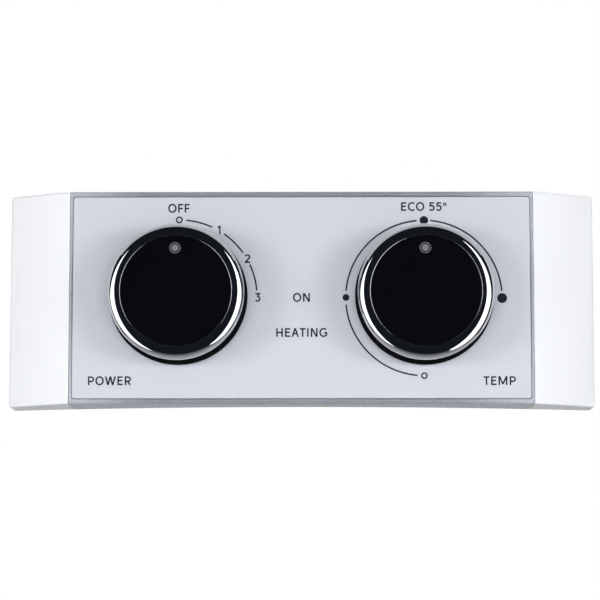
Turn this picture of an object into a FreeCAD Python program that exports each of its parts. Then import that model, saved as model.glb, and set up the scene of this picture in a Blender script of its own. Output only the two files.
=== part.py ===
import FreeCAD, Part
import math
import os

os.makedirs("parts", exist_ok=True)
V = FreeCAD.Vector

# Control panel of a storage water heater. Sizes are in mm.
# X runs to the right, Z up and Y into the heater, so the front faces -Y.
# The origin is the middle of the four fixing bosses, in the plane of their ends.

# Silver middle housing
housing_width = 162.0
panel_height = 74.7
panel_depth = 18.4
jacket_radius = 370.0
draft_angle = 1.1
wall = 2.0
floor_thickness = 2.0
front_round = 0.8
rim_bevel = 0.35
seam_gap = 0.2

# Sloping white ends
end_width = 22.3
end_rake = 14.0
facet_crown = 0.5
end_round = 1.5
outline_round = 0.8
seam_bevel = 0.3
end_rib = 1.4
end_rib_z = 25.0
end_rib_stop = 1.0
end_boss_radius = 3.0
end_boss_length = 9.0

# Printed front plate and its adhesive film
side_rim = 1.0
long_rim = 1.95
plate_corner = 1.0
plate_thickness = 1.5
plate_recess = 0.35
plate_gap = 0.15
film_thickness = 0.2
film_inset = 0.8
plate_bevel = 0.15

# Fixing bosses that take the screws from inside the jacket
fixing_inset_x = 9.0
fixing_inset_z = 10.35
fixing_boss_radius = 4.0
fixing_hole_radius = 1.6
fixing_hole_depth = 12.0

# Ribs behind the front wall
rib = 1.2
rib_height = 4.5
rib_x = 20.0
rib_z = 16.0
collar_radius = 11.0

# Light windows, light guides and light box
indicator_pitch = 12.3
window_height = 5.2
on_window_width = 9.0
heating_window_width = 20.4
guide_gap = 0.15
guide_lip = 1.0
window_corner = 0.5
guide_flange = 1.0
guide_tail = 1.7
guide_taper = 0.8
box_wall = 1.5
box_height = 5.2
fit_gap = 0.05

# Indicator board
board_thickness = 1.6
board_margin = 2.5
board_boss_radius = 2.2
board_corner = 1.0
led_width = 3.5
led_depth = 2.8
led_height = 1.9
led_pitch = 8.0
resistor_length = 3.2
resistor_width = 1.6
resistor_height = 0.6
board_tab_width = 2.8
board_tab_thickness = 0.5
board_tab_length = 8.0
board_tab_pitch = 5.0

# Steel carrier plate
carrier_space = 8.0
carrier_thickness = 1.2
carrier_screw_inset = 20.0
carrier_margin = 5.0
carrier_corner = 3.0
carrier_window_corner = 1.5
carrier_flange = 3.0
carrier_bend = 1.0
carrier_boss_radius = 3.2
carrier_window_gap = 0.8

# Screws: shank radius, head radius and head height for each size
small_shank = 1.0
small_head = 1.9
small_head_height = 1.3
medium_shank = 1.25
medium_head = 2.9
medium_head_height = 2.0
large_shank = 1.9
large_head = 3.6
large_head_height = 2.4
head_round_share = 0.33
cross_reach_share = 0.6
cross_half_share = 0.12
cross_depth_share = 0.35
screw_gap = 0.05
clearance_hole = 0.3
screw_tip_gap = 1.0
screw_hole_depth = 7.0
board_hole_depth = 4.0
end_hole_depth = 7.5
end_screw_z = 11.0
end_screw_back = 8.5

# Knob axes and spindles
knob_spacing = 85.6
spindle_radius = 3.0
running_gap = 0.05
spindle_flat = 2.0
flat_length = 14.0
clip_thickness = 0.6
clip_radius = 4.6
clip_groove = 0.5
clip_mouth = 4.0
turning_gap = 0.3

# Shaft seals
seal_radius = 7.5
seal_flange_radius = 9.5
seal_flange = 1.0
seal_lip = 1.2
seal_bore = 4.2
seal_setback = 0.2

# Knobs: radii and heights above the front plate
knob_height = 20.0
knob_gap = 0.8
cap_radius = 19.2
cap_thickness = 2.0
cap_bevel = 0.2
ring_width = 4.2
ring_lip = 0.25
ring_arc_height = 4.0
ring_height = 7.0
ring_seat = 1.9
skirt_flare = 0.6
skirt_height = 4.6
skirt_foot = 0.7
knob_wall = 2.0
web_thickness = 2.6
hub_radius = 6.2
hub_lift = 0.4
bore_end = 2.8
knob_rib = 1.2
knob_rib_count = 6
knob_rib_depth = 8.0
grip_strip_thickness = 0.4
grip_strip_width = 4.0
grip_strip_length = 9.0
grip_strip_setback = 1.0
pointer_inset = 4.45
pointer_ring_radius = 2.05
pointer_ring_width = 0.4
pointer_ring_depth = 0.6
pointer_radius = 1.33

# Mounting of the switch and the thermostat on the carrier
device_screw_spacing = 28.0
neck_radius = 5.5
neck_stand = 1.0
neck_gap = 0.2

# Power switch
switch_width = 30.0
switch_tall = 36.0
switch_corner = 2.0
switch_cover_thickness = 3.0
switch_base_depth = 14.0
switch_cavity = 20.0
switch_cavity_depth = 11.5
switch_screw_pocket = 3.0
thermostat_screw_pocket = 2.2
rivet_radius = 1.0
rivet_inset_x = 2.6
rivet_inset_z = 4.0
rivet_head = 1.8
rivet_head_height = 0.7
drum_radius = 6.5
contact_gap = 0.35
star_gap = 0.45
star_notch = 1.3
star_depth = 2.4
lobe_height = 2.4
first_lobe_gap = 0.25
lobe_gap = 0.125
detent_pitch = 30.0
detent_angle = 45.0
lobe_angles = ((-15.0, 75.0), (45.0, 135.0), (75.0, 165.0))
roller_radius = 1.5
roller_gap = 0.4
detent_leaf = 0.4
detent_leaf_half = 1.5
tab_width = 6.3
tab_thickness = 0.8
tab_length = 8.0
tab_inside = 6.0
tab_cut_share = 0.15
tab_hole_share = 0.14
tab_hole_place_share = 0.5
contact_leaf = 0.3
contact_width = 4.0
contact_length = 8.0
contact_setback = 1.0

# Thermostat
thermostat_width = 34.0
thermostat_tall = 40.0
frame_sheet = 1.2
frame_leg_width = 14.0
frame_leg_length = 12.0
base_depth = 13.8
base_inset = 2.0
base_corner = 1.0
leg_gap = 0.1
capsule_gap = 1.0
capsule_pocket_depth = 4.5
capsule_radius = 10.5
capsule_flat_radius = 7.5
capsule_dish_radius = 8.4
capsule_rim = 1.1
capsule_thickness = 2.2
capsule_lift = 1.4
capsule_boss = 2.5
web = 2.3
contact_room_x = 20.0
contact_room_z = 28.0
cover_thickness = 2.0
push_pin_radius = 1.2
push_pin_room = 2.0
snap_leaf = 0.3
snap_leaf_width = 6.0
snap_leaf_length = 24.0
tab_row = 9.0
nipple_radius = 1.2
nipple_bore = 0.6
nipple_stand = 3.0
nipple_groove = 0.2
nipple_offset = 6.5

# Earth tab on the carrier
earth_x = 12.0
earth_z = 22.0
earth_foot = 9.0
earth_sheet = 0.8
earth_grip = 3.0

# Levels along Y, from the front rim to the back
front = -panel_depth
plate_front = front + plate_recess
plate_back = plate_front + plate_thickness
wall_front = plate_back + film_thickness
wall_back = wall_front + floor_thickness
board_front = wall_back + box_height
board_back = board_front + board_thickness
carrier_front = wall_back + carrier_space
carrier_back = carrier_front + carrier_thickness
neck_front = carrier_front - neck_stand
switch_split = carrier_back + switch_cover_thickness
switch_floor = switch_split + switch_cavity_depth
switch_back = switch_split + switch_base_depth
base_front = carrier_back + frame_sheet
pocket_floor = base_front + capsule_pocket_depth
room_front = pocket_floor + web
base_back = base_front + base_depth
cover_back = base_back + cover_thickness
capsule_front = base_front + capsule_lift
capsule_back = capsule_front + capsule_thickness
snap_front = room_front + push_pin_room

# Widths and places worked out from the sizes above
half_width = housing_width / 2
plate_width = housing_width - 2 * side_rim
plate_height = panel_height - 2 * long_rim
fixing_x = half_width - fixing_inset_x
fixing_z = panel_height / 2 - fixing_inset_z
carrier_screw_x = half_width - carrier_screw_inset
carrier_screw_z = fixing_z
carrier_half_height = carrier_screw_z + carrier_margin
seam_x = half_width + seam_gap
outer_x = seam_x + end_width
draft_slope = math.tan(math.radians(draft_angle))
knob_x = knob_spacing / 2
ring_radius = cap_radius + ring_width
skirt_radius = ring_radius + skirt_flare
bore_depth = knob_height - cap_thickness - web_thickness - bore_end
pointer_offset = cap_radius - pointer_inset
box_half = heating_window_width / 2 + guide_lip + guide_gap + box_wall
box_over = window_height / 2 + guide_lip + guide_gap + box_wall
board_screw_x = box_half + board_boss_radius + clearance_hole
board_half = board_screw_x + board_margin
board_top = box_over + board_margin
board_bottom = -indicator_pitch - box_over - board_margin
board_screw_z = -indicator_pitch / 2
carrier_half = carrier_screw_x + carrier_margin
cavity_half = switch_cavity / 2
blade_outer = cavity_half - fit_gap
blade_inner = blade_outer - tab_thickness
contact_inner = blade_inner - contact_leaf
lobe_radius = contact_inner - contact_gap
star_radius = contact_inner - star_gap
roller_reach = star_radius + roller_radius + roller_gap
rivet_x = switch_width / 2 - rivet_inset_x
rivet_z = switch_tall / 2 - rivet_inset_z
capsule_pocket = capsule_radius + capsule_gap
capsule_axis = (capsule_front + capsule_back) / 2
base_half = thermostat_width / 2 - frame_sheet - leg_gap
base_half_height = thermostat_tall / 2 - base_inset
clip_front = neck_front - turning_gap - clip_thickness
far = 200.0
over = 1.0


def sag(x):
    return jacket_radius - math.sqrt(jacket_radius ** 2 - x ** 2)


saddle_front = -sag(fixing_x - fixing_boss_radius)
housing_back = saddle_front + sag(half_width) + over
end_back = saddle_front + sag(outer_x) + over


def half_height(y):
    return panel_height / 2 + (y - front) * draft_slope


# Basic shapes: blocks, round bars, turned and extruded outlines


def block(x0, x1, y0, y1, z0, z1):
    return Part.makeBox(x1 - x0, y1 - y0, z1 - z0, V(x0, y0, z0))


def bar(x, z, radius, y0, y1):
    return Part.makeCylinder(radius, y1 - y0, V(x, y0, z), V(0, 1, 0))


def cross_bar(x0, x1, y, z, radius):
    return Part.makeCylinder(radius, x1 - x0, V(x0, y, z), V(1, 0, 0))


def tube(x, z, outer, inner, y0, y1):
    return bar(x, z, outer, y0, y1).cut(bar(x, z, inner, y0 - over, y1 + over))


def edges_where(shape, test):
    return [edge for edge in shape.Edges if test(edge.BoundBox)]


# A rectangle with rounded corners, carried along Y
def slab(x, z, half_x, half_z, y0, y1, corner):
    body = block(x - half_x, x + half_x, y0, y1, z - half_z, z + half_z)
    along_y = edges_where(body, lambda b: b.YLength > (y1 - y0) / 2)
    return body.makeFillet(corner, along_y)


# A closed outline in the X-Y plane: a step is a point for a line,
# or a middle point and an end point for an arc
def outline(start, *steps):
    here = V(start[0], start[1], 0)
    edges = []
    for step in steps + (start,):
        if isinstance(step[0], tuple):
            middle = V(step[0][0], step[0][1], 0)
            there = V(step[1][0], step[1][1], 0)
            edges.append(Part.Arc(here, middle, there).toShape())
        else:
            there = V(step[0], step[1], 0)
            edges.append(Part.LineSegment(here, there).toShape())
        here = there
    return Part.Face(Part.Wire(edges))


# An outline of radius and Y, turned about an axis along Y
def turned(x, z, *steps):
    body = outline(*steps).revolve(V(0, 0, 0), V(0, 1, 0), 360)
    body.translate(V(x, 0, z))
    return body


def mirrored(shape):
    return shape.mirror(V(0, 0, 0), V(1, 0, 0))


# A screw along Y whose head sits at `seat`, with its shank towards `side` (+1 is +Y)
def screw(x, z, seat, grip, side, shank, head, head_height):
    tip = seat + side * grip
    top = seat - side * head_height
    stem = bar(x, z, shank, min(seat, tip), max(seat, tip))
    cap = bar(x, z, head, min(seat, top), max(seat, top))
    rim = edges_where(cap, lambda b: abs(b.YMin - top) < fit_gap and abs(b.YMax - top) < fit_gap)
    cap = cap.makeFillet(head_height * head_round_share, rim)
    return cap.cut(cross_recess(x, z, head, top, side)).fuse(stem).removeSplitter()


# The cross recess of a screw head that ends at `top`
def cross_recess(x, z, head, top, side):
    arm = head * cross_reach_share
    half = head * cross_half_share
    deep = top + side * head * cross_depth_share
    near = top - side * over
    y0 = min(deep, near)
    y1 = max(deep, near)
    flat = block(x - arm, x + arm, y0, y1, z - half, z + half)
    upright = block(x - half, x + half, y0, y1, z - arm, z + arm)
    return flat.fuse(upright)


# A blade terminal along Y, flat towards X, with its tip corners cut back and a hole for a latch
def tab(width, thickness, y0, y1):
    blade = block(-thickness / 2, thickness / 2, y0, y1, -width / 2, width / 2)
    tip = edges_where(blade, lambda b: b.YMin > y1 - fit_gap and b.ZLength < fit_gap)
    blade = blade.makeChamfer(width * tab_cut_share, tip)
    hole_y = y1 - width * tab_hole_place_share
    return blade.cut(cross_bar(-thickness, thickness, hole_y, 0, width * tab_hole_share))


# A shape turned about an axis along Y, then moved along X and Z
def placed(shape, turn, x, z):
    copy = shape.copy()
    copy.rotate(V(0, 0, 0), V(0, 1, 0), turn)
    copy.translate(V(x, 0, z))
    return copy


# The heater's curved jacket, which trims the rear edges
def jacket():
    return Part.makeCylinder(jacket_radius, far, V(0, saddle_front + jacket_radius, -far / 2))


# The panel's drafted section between two X planes, with its top and bottom drawn in by inset
def section(x0, x1, y0, y1, inset):
    top0 = half_height(y0) - inset
    top1 = half_height(y1) - inset
    corners = [V(x0, y0, -top0), V(x0, y1, -top1), V(x0, y1, top1), V(x0, y0, top0), V(x0, y0, -top0)]
    return Part.Face(Part.makePolygon(corners)).extrude(V(x1 - x0, 0, 0))


fixing_places = [(sx * fixing_x, sz * fixing_z) for sx in (-1, 1) for sz in (-1, 1)]
carrier_places = [(sx * carrier_screw_x, sz * carrier_screw_z) for sx in (-1, 0, 1) for sz in (-1, 1)]
board_places = [(side * board_screw_x, board_screw_z) for side in (-1, 1)]
windows = {
    "on": (0.0, on_window_width),
    "heating": (-indicator_pitch, heating_window_width),
}


# Silver housing: a drafted tray with a pocket for the plate, ribs, collars and bosses
def make_bezel():
    body = section(-half_width, half_width, front, housing_back, 0)
    long_edges = edges_where(body, lambda b: b.XLength > half_width and b.YMax < front + over)
    body = body.makeFillet(front_round, long_edges)
    inner = half_width - wall
    body = body.cut(section(-inner, inner, wall_back, housing_back + over, wall))
    body = body.cut(jacket())
    roof = half_height(front) - wall
    rib_top = wall_back + rib_height
    for side in (-1, 1):
        x = side * rib_x
        body = body.fuse(block(x - rib / 2, x + rib / 2, wall_back, rib_top, -roof, roof))
        z = side * rib_z
        for end in (-1, 1):
            x0 = min(end * rib_x, end * inner)
            x1 = max(end * rib_x, end * inner)
            body = body.fuse(block(x0, x1, wall_back, rib_top, z - rib / 2, z + rib / 2))
    for side in (-1, 1):
        x = side * knob_x
        body = body.cut(bar(x, 0, collar_radius, wall_back, carrier_front))
        body = body.fuse(tube(x, 0, collar_radius + rib, collar_radius, wall_back, rib_top))
    for x, z in fixing_places:
        body = body.fuse(bar(x, z, fixing_boss_radius, wall_back, 0))
    for x, z in carrier_places:
        body = body.fuse(bar(x, z, carrier_boss_radius, wall_back, carrier_front))
    for x, z in board_places:
        body = body.fuse(bar(x, z, board_boss_radius, wall_back, board_front))
    for x, z in fixing_places:
        body = body.cut(bar(x, z, fixing_hole_radius, -fixing_hole_depth, over))
    hole_end = carrier_front - screw_hole_depth
    for x, z in carrier_places:
        body = body.cut(bar(x, z, medium_shank + screw_gap, hole_end, carrier_front + over))
    hole_end = board_front - board_hole_depth
    for x, z in board_places:
        body = body.cut(bar(x, z, small_shank + screw_gap, hole_end, board_front + over))
    hole_radius = medium_shank + clearance_hole
    for side in (-1, 1):
        body = body.cut(bar(side * knob_x, 0, seal_radius + fit_gap, front, wall_back + over))
        for z in (-end_screw_z, end_screw_z):
            hole = cross_bar(inner - over, half_width + over, -end_screw_back, z, hole_radius)
            body = body.cut(hole if side > 0 else mirrored(hole))
    for z, width in windows.values():
        body = body.cut(slab(0, z, width / 2, window_height / 2, front, wall_back + over, window_corner))
    pocket_x = plate_width / 2 + plate_gap
    pocket_z = plate_height / 2 + plate_gap
    pocket = slab(0, 0, pocket_x, pocket_z, front - over, wall_front, plate_corner)
    body = body.cut(pocket).removeSplitter()
    rim = [
        edge for edge in body.Edges
        if edge.BoundBox.YMax < front + fit_gap
        and abs(edge.BoundBox.XMin) <= pocket_x + fit_gap
        and abs(edge.BoundBox.XMax) <= pocket_x + fit_gap
        and max(abs(edge.BoundBox.ZMin), abs(edge.BoundBox.ZMax)) <= pocket_z + fit_gap
    ]
    return body.makeChamfer(rim_bevel, rim)


# One white end: a crowned facet that slopes back from the seam to a rounded end wall
def make_right_end():
    facet_end = front + end_rake
    lean = math.atan2(end_rake, end_width)
    middle_x = (seam_x + outer_x) / 2 + facet_crown * math.sin(lean)
    middle_y = (front + facet_end) / 2 - facet_crown * math.cos(lean)
    wedge = outline(
        (seam_x, front + seam_bevel),
        (seam_x + seam_bevel, front + seam_bevel * math.tan(lean)),
        ((middle_x, middle_y), (outer_x, facet_end)),
        (outer_x, end_back),
        (seam_x, end_back),
    ).extrude(V(0, 0, far))
    wedge.translate(V(0, 0, -far / 2))
    nose = edges_where(
        wedge,
        lambda b: b.ZLength > far / 2 and abs(b.XMin - outer_x) < fit_gap and b.YMax < facet_end + fit_gap,
    )
    wedge = wedge.makeFillet(end_round, nose)
    body = wedge.common(section(seam_x - over, outer_x + over, front - over, end_back, 0))
    rims = edges_where(
        body,
        lambda b: b.ZLength < over and b.XMin >= seam_x + seam_bevel - fit_gap and b.YMin < end_back - over,
    )
    body = body.makeFillet(outline_round, rims)
    inner_y = front + wall / math.cos(lean)
    slope = math.tan(lean)
    room = outline(
        (seam_x + wall, inner_y + wall * slope),
        (outer_x - wall, inner_y + (end_width - wall) * slope),
        (outer_x - wall, end_back + over),
        (seam_x + wall, end_back + over),
    ).extrude(V(0, 0, far))
    room.translate(V(0, 0, -far / 2))
    hollow = room.common(section(seam_x, outer_x, front, end_back + over, wall))
    inside = body
    body = body.cut(hollow)
    for z in (-end_rib_z, 0, end_rib_z):
        sheet = block(seam_x, outer_x, front, -end_rib_stop, z - end_rib / 2, z + end_rib / 2)
        body = body.fuse(sheet.common(inside))
    boss_end = seam_x + wall + end_boss_length
    for z in (-end_screw_z, end_screw_z):
        boss = cross_bar(seam_x + fit_gap, boss_end, -end_screw_back, z, end_boss_radius)
        body = body.fuse(boss.common(inside))
    hole_end = seam_x + end_hole_depth
    for z in (-end_screw_z, end_screw_z):
        body = body.cut(cross_bar(seam_x - over, hole_end, -end_screw_back, z, medium_shank + screw_gap))
    return body.cut(jacket()).removeSplitter()


# Printed front plate with two round holes for the shaft seals
def make_front_plate():
    plate = slab(0, 0, plate_width / 2, plate_height / 2, plate_front, plate_back, plate_corner)
    face = edges_where(plate, lambda b: b.YMax < plate_front + fit_gap)
    plate = plate.makeChamfer(plate_bevel, face)
    for side in (-1, 1):
        plate = plate.cut(bar(side * knob_x, 0, seal_radius + fit_gap, plate_front - over, plate_back + over))
    return plate


# Adhesive film, cut out round the seals and the light windows
def make_plate_film():
    half_x = plate_width / 2 - film_inset
    half_z = plate_height / 2 - film_inset
    film = slab(0, 0, half_x, half_z, plate_back, wall_front, plate_corner)
    for side in (-1, 1):
        film = film.cut(bar(side * knob_x, 0, seal_radius + film_inset, plate_back - over, wall_front + over))
    for z, width in windows.values():
        film = film.cut(
            slab(0, z, width / 2, window_height / 2, plate_back - over, wall_front + over, window_corner)
        )
    return film


# Rubber seal round a spindle, pushed in from behind with its lip at the front
def make_shaft_seal(x):
    lip = spindle_radius + running_gap
    face = plate_front + seal_setback
    back = wall_back + seal_flange
    return turned(
        x, 0,
        (lip, face),
        (seal_radius, face),
        (seal_radius, wall_back),
        (seal_flange_radius, wall_back),
        (seal_flange_radius, back),
        (seal_bore, back),
        (seal_bore, face + seal_lip),
        (lip, face + seal_lip),
    )


# Clear light guide: a block in the window, a flange behind the wall and a tail towards the lamp
def make_light_guide(z, width):
    half_x = width / 2 - guide_gap
    half_z = window_height / 2 - guide_gap
    head = slab(0, z, half_x, half_z, plate_back + fit_gap, wall_back, window_corner)
    flange_back = wall_back + guide_flange
    flange = block(
        -half_x - guide_lip, half_x + guide_lip,
        wall_back, flange_back,
        z - half_z - guide_lip, z + half_z + guide_lip,
    )
    tail_x = half_x - guide_taper
    tail_z = half_z - guide_taper
    tail = block(-tail_x, tail_x, flange_back, flange_back + guide_tail, z - tail_z, z + tail_z)
    return head.fuse(flange).fuse(tail).removeSplitter()


# White light box: two chambers that hold the guides and keep the lamps apart
def make_light_box():
    body = block(-box_half, box_half, wall_back, board_front, -indicator_pitch - box_over, box_over)
    for z, width in windows.values():
        seat_x = width / 2 + guide_lip
        seat_z = window_height / 2 + guide_lip
        seat_back = wall_back + guide_flange + fit_gap
        body = body.cut(block(-seat_x, seat_x, wall_back - over, seat_back, z - seat_z, z + seat_z))
        half_x = width / 2
        half_z = window_height / 2
        body = body.cut(block(-half_x, half_x, wall_back, board_front + over, z - half_z, z + half_z))
    return body


# Indicator board with its two screw holes
def make_indicator_board():
    middle = (board_top + board_bottom) / 2
    half = (board_top - board_bottom) / 2
    board = slab(0, middle, board_half, half, board_front, board_back, board_corner)
    for x, z in board_places:
        board = board.cut(bar(x, z, small_shank + clearance_hole, board_front - over, board_back + over))
    return board


# Surface mounted lamps: one behind ON and three behind HEATING
def make_indicator_lamps():
    places = [(0.0, 0.0)] + [(n * led_pitch, -indicator_pitch) for n in (-1, 0, 1)]
    return [
        block(
            x - led_width / 2, x + led_width / 2,
            board_front - led_height, board_front,
            z - led_depth / 2, z + led_depth / 2,
        )
        for x, z in places
    ]


# Chip resistors on the back of the board, under its terminals
def make_board_resistors():
    return [
        block(
            x - resistor_length / 2, x + resistor_length / 2,
            board_back, board_back + resistor_height,
            z - resistor_width / 2, z + resistor_width / 2,
        )
        for x in (-led_pitch, 0, led_pitch)
        for z in (-indicator_pitch, -indicator_pitch / 2)
    ]


# Three blade terminals that stand on the back of the board
def make_board_terminals():
    blade = tab(board_tab_width, board_tab_thickness, board_back, board_back + board_tab_length)
    return [placed(blade, 90, x, 0) for x in (-board_tab_pitch, 0, board_tab_pitch)]


# Steel carrier plate, screwed to the housing, with its long edges bent forward
def make_carrier_plate():
    y0 = carrier_front
    y1 = carrier_back
    plate = slab(0, 0, carrier_half, carrier_half_height, y0, y1, carrier_corner)
    flange_half = carrier_half - carrier_corner
    for side in (-1, 1):
        edge = side * carrier_half_height
        inside = edge - side * carrier_thickness
        plate = plate.fuse(block(
            -flange_half, flange_half,
            y0 - carrier_flange, y1,
            min(edge, inside), max(edge, inside),
        ))
    plate = plate.removeSplitter()
    bends = edges_where(
        plate,
        lambda b: b.XLength > carrier_half and b.YMin > y1 - fit_gap
        and max(abs(b.ZMin), abs(b.ZMax)) > carrier_half_height - fit_gap,
    )
    plate = plate.makeFillet(carrier_bend, bends)
    window_x = board_half + carrier_window_gap
    window_top = board_top + carrier_window_gap
    window_bottom = board_bottom - carrier_window_gap
    window_z = (window_top + window_bottom) / 2
    window_half = (window_top - window_bottom) / 2
    plate = plate.cut(slab(0, window_z, window_x, window_half, y0 - over, y1 + over, carrier_window_corner))
    for side in (-1, 1):
        x = side * knob_x
        plate = plate.cut(bar(x, 0, neck_radius + neck_gap, y0 - over, y1 + over))
        for z in (-device_screw_spacing / 2, device_screw_spacing / 2):
            plate = plate.cut(bar(x, z, large_shank + clearance_hole, y0 - over, y1 + over))
    for x, z in carrier_places:
        plate = plate.cut(bar(x, z, medium_shank + clearance_hole, y0 - over, y1 + over))
    return plate.cut(bar(earth_x, earth_z, large_shank + screw_gap, y0 - over, y1 + over))


def make_carrier_screws():
    return [
        screw(x, z, carrier_back, carrier_thickness + screw_hole_depth - screw_tip_gap, -1,
              medium_shank, medium_head, medium_head_height)
        for x, z in carrier_places
    ]


def make_board_screws():
    return [
        screw(x, z, board_back, board_thickness + board_hole_depth - screw_tip_gap, -1,
              small_shank, small_head, small_head_height)
        for x, z in board_places
    ]


# Two screws at each end, from inside the housing into the bosses of the white ends
def make_end_screws():
    inner = half_width - wall
    grip = seam_x + end_hole_depth - screw_tip_gap - inner
    screws = []
    for z in (-end_screw_z, end_screw_z):
        one = screw(0, 0, 0, grip, 1, medium_shank, medium_head, medium_head_height)
        one.rotate(V(0, 0, 0), V(0, 0, 1), -90)
        one.translate(V(inner, -end_screw_back, z))
        screws += [one, mirrored(one)]
    return screws


# Screws from the front of the carrier into the switch or the thermostat
def make_device_screws(x, grip):
    return [
        screw(x, z, carrier_front, carrier_thickness + grip, 1, large_shank, large_head, large_head_height)
        for z in (-device_screw_spacing / 2, device_screw_spacing / 2)
    ]


# Earth tab: a foot on the carrier and a blade bent to the rear
def make_earth_tab():
    half = earth_foot / 2
    foot = block(earth_x - half, earth_x + half, carrier_back, carrier_back + earth_sheet,
                 earth_z - half, earth_z + half)
    blade = tab(tab_width, tab_thickness, carrier_back, carrier_back + tab_length + earth_sheet)
    blade = placed(blade, 0, earth_x + half + tab_thickness / 2, earth_z)
    hole = bar(earth_x, earth_z, large_shank + clearance_hole, carrier_back - over, carrier_back + over)
    return foot.fuse(blade).cut(hole).removeSplitter()


def make_earth_screw():
    grip = earth_sheet + carrier_thickness + earth_grip
    return screw(earth_x, earth_z, carrier_back + earth_sheet, grip, -1,
                 large_shank, large_head, large_head_height)


# Spindle with a flat at its front end and a groove for its retaining clip
def make_spindle(x, back):
    tip = level(bore_depth) + fit_gap
    body = bar(x, 0, spindle_radius, tip, back)
    flat = block(x - far, x + far, tip - over, tip + flat_length, -far, -spindle_flat)
    groove = tube(x, 0, spindle_radius + over, spindle_radius - clip_groove,
                  clip_front - fit_gap, clip_front + clip_thickness + fit_gap)
    return body.cut(flat).cut(groove)


# Retaining clip: an open ring that snaps into the groove
def make_spindle_clip(x):
    inner = spindle_radius - clip_groove + fit_gap
    ring = tube(x, 0, clip_radius, inner, clip_front, clip_front + clip_thickness)
    mouth = block(x - clip_mouth / 2, x + clip_mouth / 2, front, 0, -far, 0)
    return ring.cut(mouth)


# The Y level at a height above the front plate
def level(height):
    return plate_front - height


# Knob moulding: a flared skirt, a web, a hub on ribs and seats for the ring and the cap
def make_knob_body(x):
    seat_top = knob_height - cap_thickness
    shoulder = seat_top - ring_seat
    ledge = knob_height - ring_height
    spigot = ring_radius - ring_seat - fit_gap
    step = cap_radius - fit_gap
    skirt_top = ring_radius - ring_lip
    foot = ring_radius - skirt_foot
    ceiling = seat_top - web_thickness
    body = turned(
        x, 0,
        (0, level(seat_top)),
        (step, level(seat_top)),
        (step, level(shoulder)),
        (spigot, level(shoulder)),
        (spigot, level(ledge)),
        (skirt_top, level(ledge)),
        (skirt_radius, level(skirt_height)),
        (foot, level(knob_gap)),
        (skirt_radius - knob_wall - skirt_foot, level(knob_gap)),
        (spigot - knob_wall, level(ledge)),
        (spigot - knob_wall, level(ceiling)),
        (0, level(ceiling)),
    )
    rib_reach = spigot - knob_wall + fit_gap
    fin = block(0, rib_reach, level(ceiling), level(ceiling - knob_rib_depth), -knob_rib / 2, knob_rib / 2)
    for n in range(knob_rib_count):
        body = body.fuse(placed(fin, 360 / knob_rib_count * (n + 0.5), x, 0))
    body = body.fuse(bar(x, 0, hub_radius, level(ceiling), level(hub_lift)))
    bore = bar(x, 0, spindle_radius + fit_gap, level(bore_depth), level(0))
    strip_floor = -spindle_flat - grip_strip_thickness - 2 * fit_gap
    bore = bore.cut(block(x - far, x + far, level(bore_depth) - over, level(0) + over, -far, strip_floor))
    strip_slot = block(
        x - grip_strip_width / 2 - fit_gap, x + grip_strip_width / 2 + fit_gap,
        level(bore_depth), level(0), strip_floor, 0,
    )
    return body.cut(bore).cut(strip_slot).removeSplitter()


# Chromed shoulder ring: a quarter round from the cap down to a short upright wall
def make_knob_ring(x):
    inner = cap_radius + fit_gap
    start = inner + ring_lip
    round_end = knob_height - ring_arc_height
    turn = math.sqrt(0.5)
    middle_r = start + (ring_radius - start) * turn
    middle_h = round_end + ring_arc_height * turn
    ledge = knob_height - ring_height
    spigot = ring_radius - ring_seat
    shoulder = knob_height - cap_thickness - ring_seat
    return turned(
        x, 0,
        (inner, level(knob_height)),
        (start, level(knob_height)),
        ((middle_r, level(middle_h)), (ring_radius, level(round_end))),
        (ring_radius, level(ledge)),
        (spigot, level(ledge)),
        (spigot, level(shoulder)),
        (inner, level(shoulder)),
    )


# Glossy cap disc with a groove for the pointer ring and a hole for the pointer
def make_knob_cap(x):
    top = level(knob_height)
    back = top + cap_thickness
    cap = turned(
        x, 0,
        (0, top),
        (cap_radius - cap_bevel, top),
        (cap_radius, top + cap_bevel),
        (cap_radius, back),
        (0, back),
    )
    groove = tube(x, pointer_offset, pointer_ring_radius + fit_gap,
                  pointer_ring_radius - pointer_ring_width - fit_gap, top - over, top + pointer_ring_depth)
    hole = bar(x, pointer_offset, pointer_radius + fit_gap, top - over, back + over)
    return cap.cut(groove).cut(hole)


def make_pointer_ring(x):
    top = level(knob_height)
    return tube(x, pointer_offset, pointer_ring_radius, pointer_ring_radius - pointer_ring_width,
                top, top + pointer_ring_depth)


def make_pointer(x):
    top = level(knob_height)
    return bar(x, pointer_offset, pointer_radius, top, top + cap_thickness)


# Spring strip between the flat of the spindle and the hub
def make_grip_strip(x):
    near = level(bore_depth) + grip_strip_setback
    return block(
        x - grip_strip_width / 2, x + grip_strip_width / 2,
        near, near + grip_strip_length,
        -spindle_flat - fit_gap - grip_strip_thickness, -spindle_flat - fit_gap,
    )


# Power switch: cover with its neck
def make_switch_cover(x):
    cover = slab(x, 0, switch_width / 2, switch_tall / 2, carrier_back, switch_split, switch_corner)
    cover = cover.fuse(bar(x, 0, neck_radius, neck_front, carrier_back))
    cover = cover.cut(bar(x, 0, spindle_radius + running_gap, neck_front - over, switch_split + over))
    head_end = carrier_back + rivet_head_height
    for side in (-1, 1):
        z = side * device_screw_spacing / 2
        px = x + side * rivet_x
        pz = side * rivet_z
        cover = cover.cut(bar(x, z, large_shank + screw_gap, carrier_back - over, switch_split + over))
        cover = cover.cut(bar(px, pz, rivet_radius + fit_gap, carrier_back - over, switch_split + over))
        cover = cover.cut(bar(px, pz, rivet_head + fit_gap, carrier_back - over, head_end))
    return cover.removeSplitter()


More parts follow.
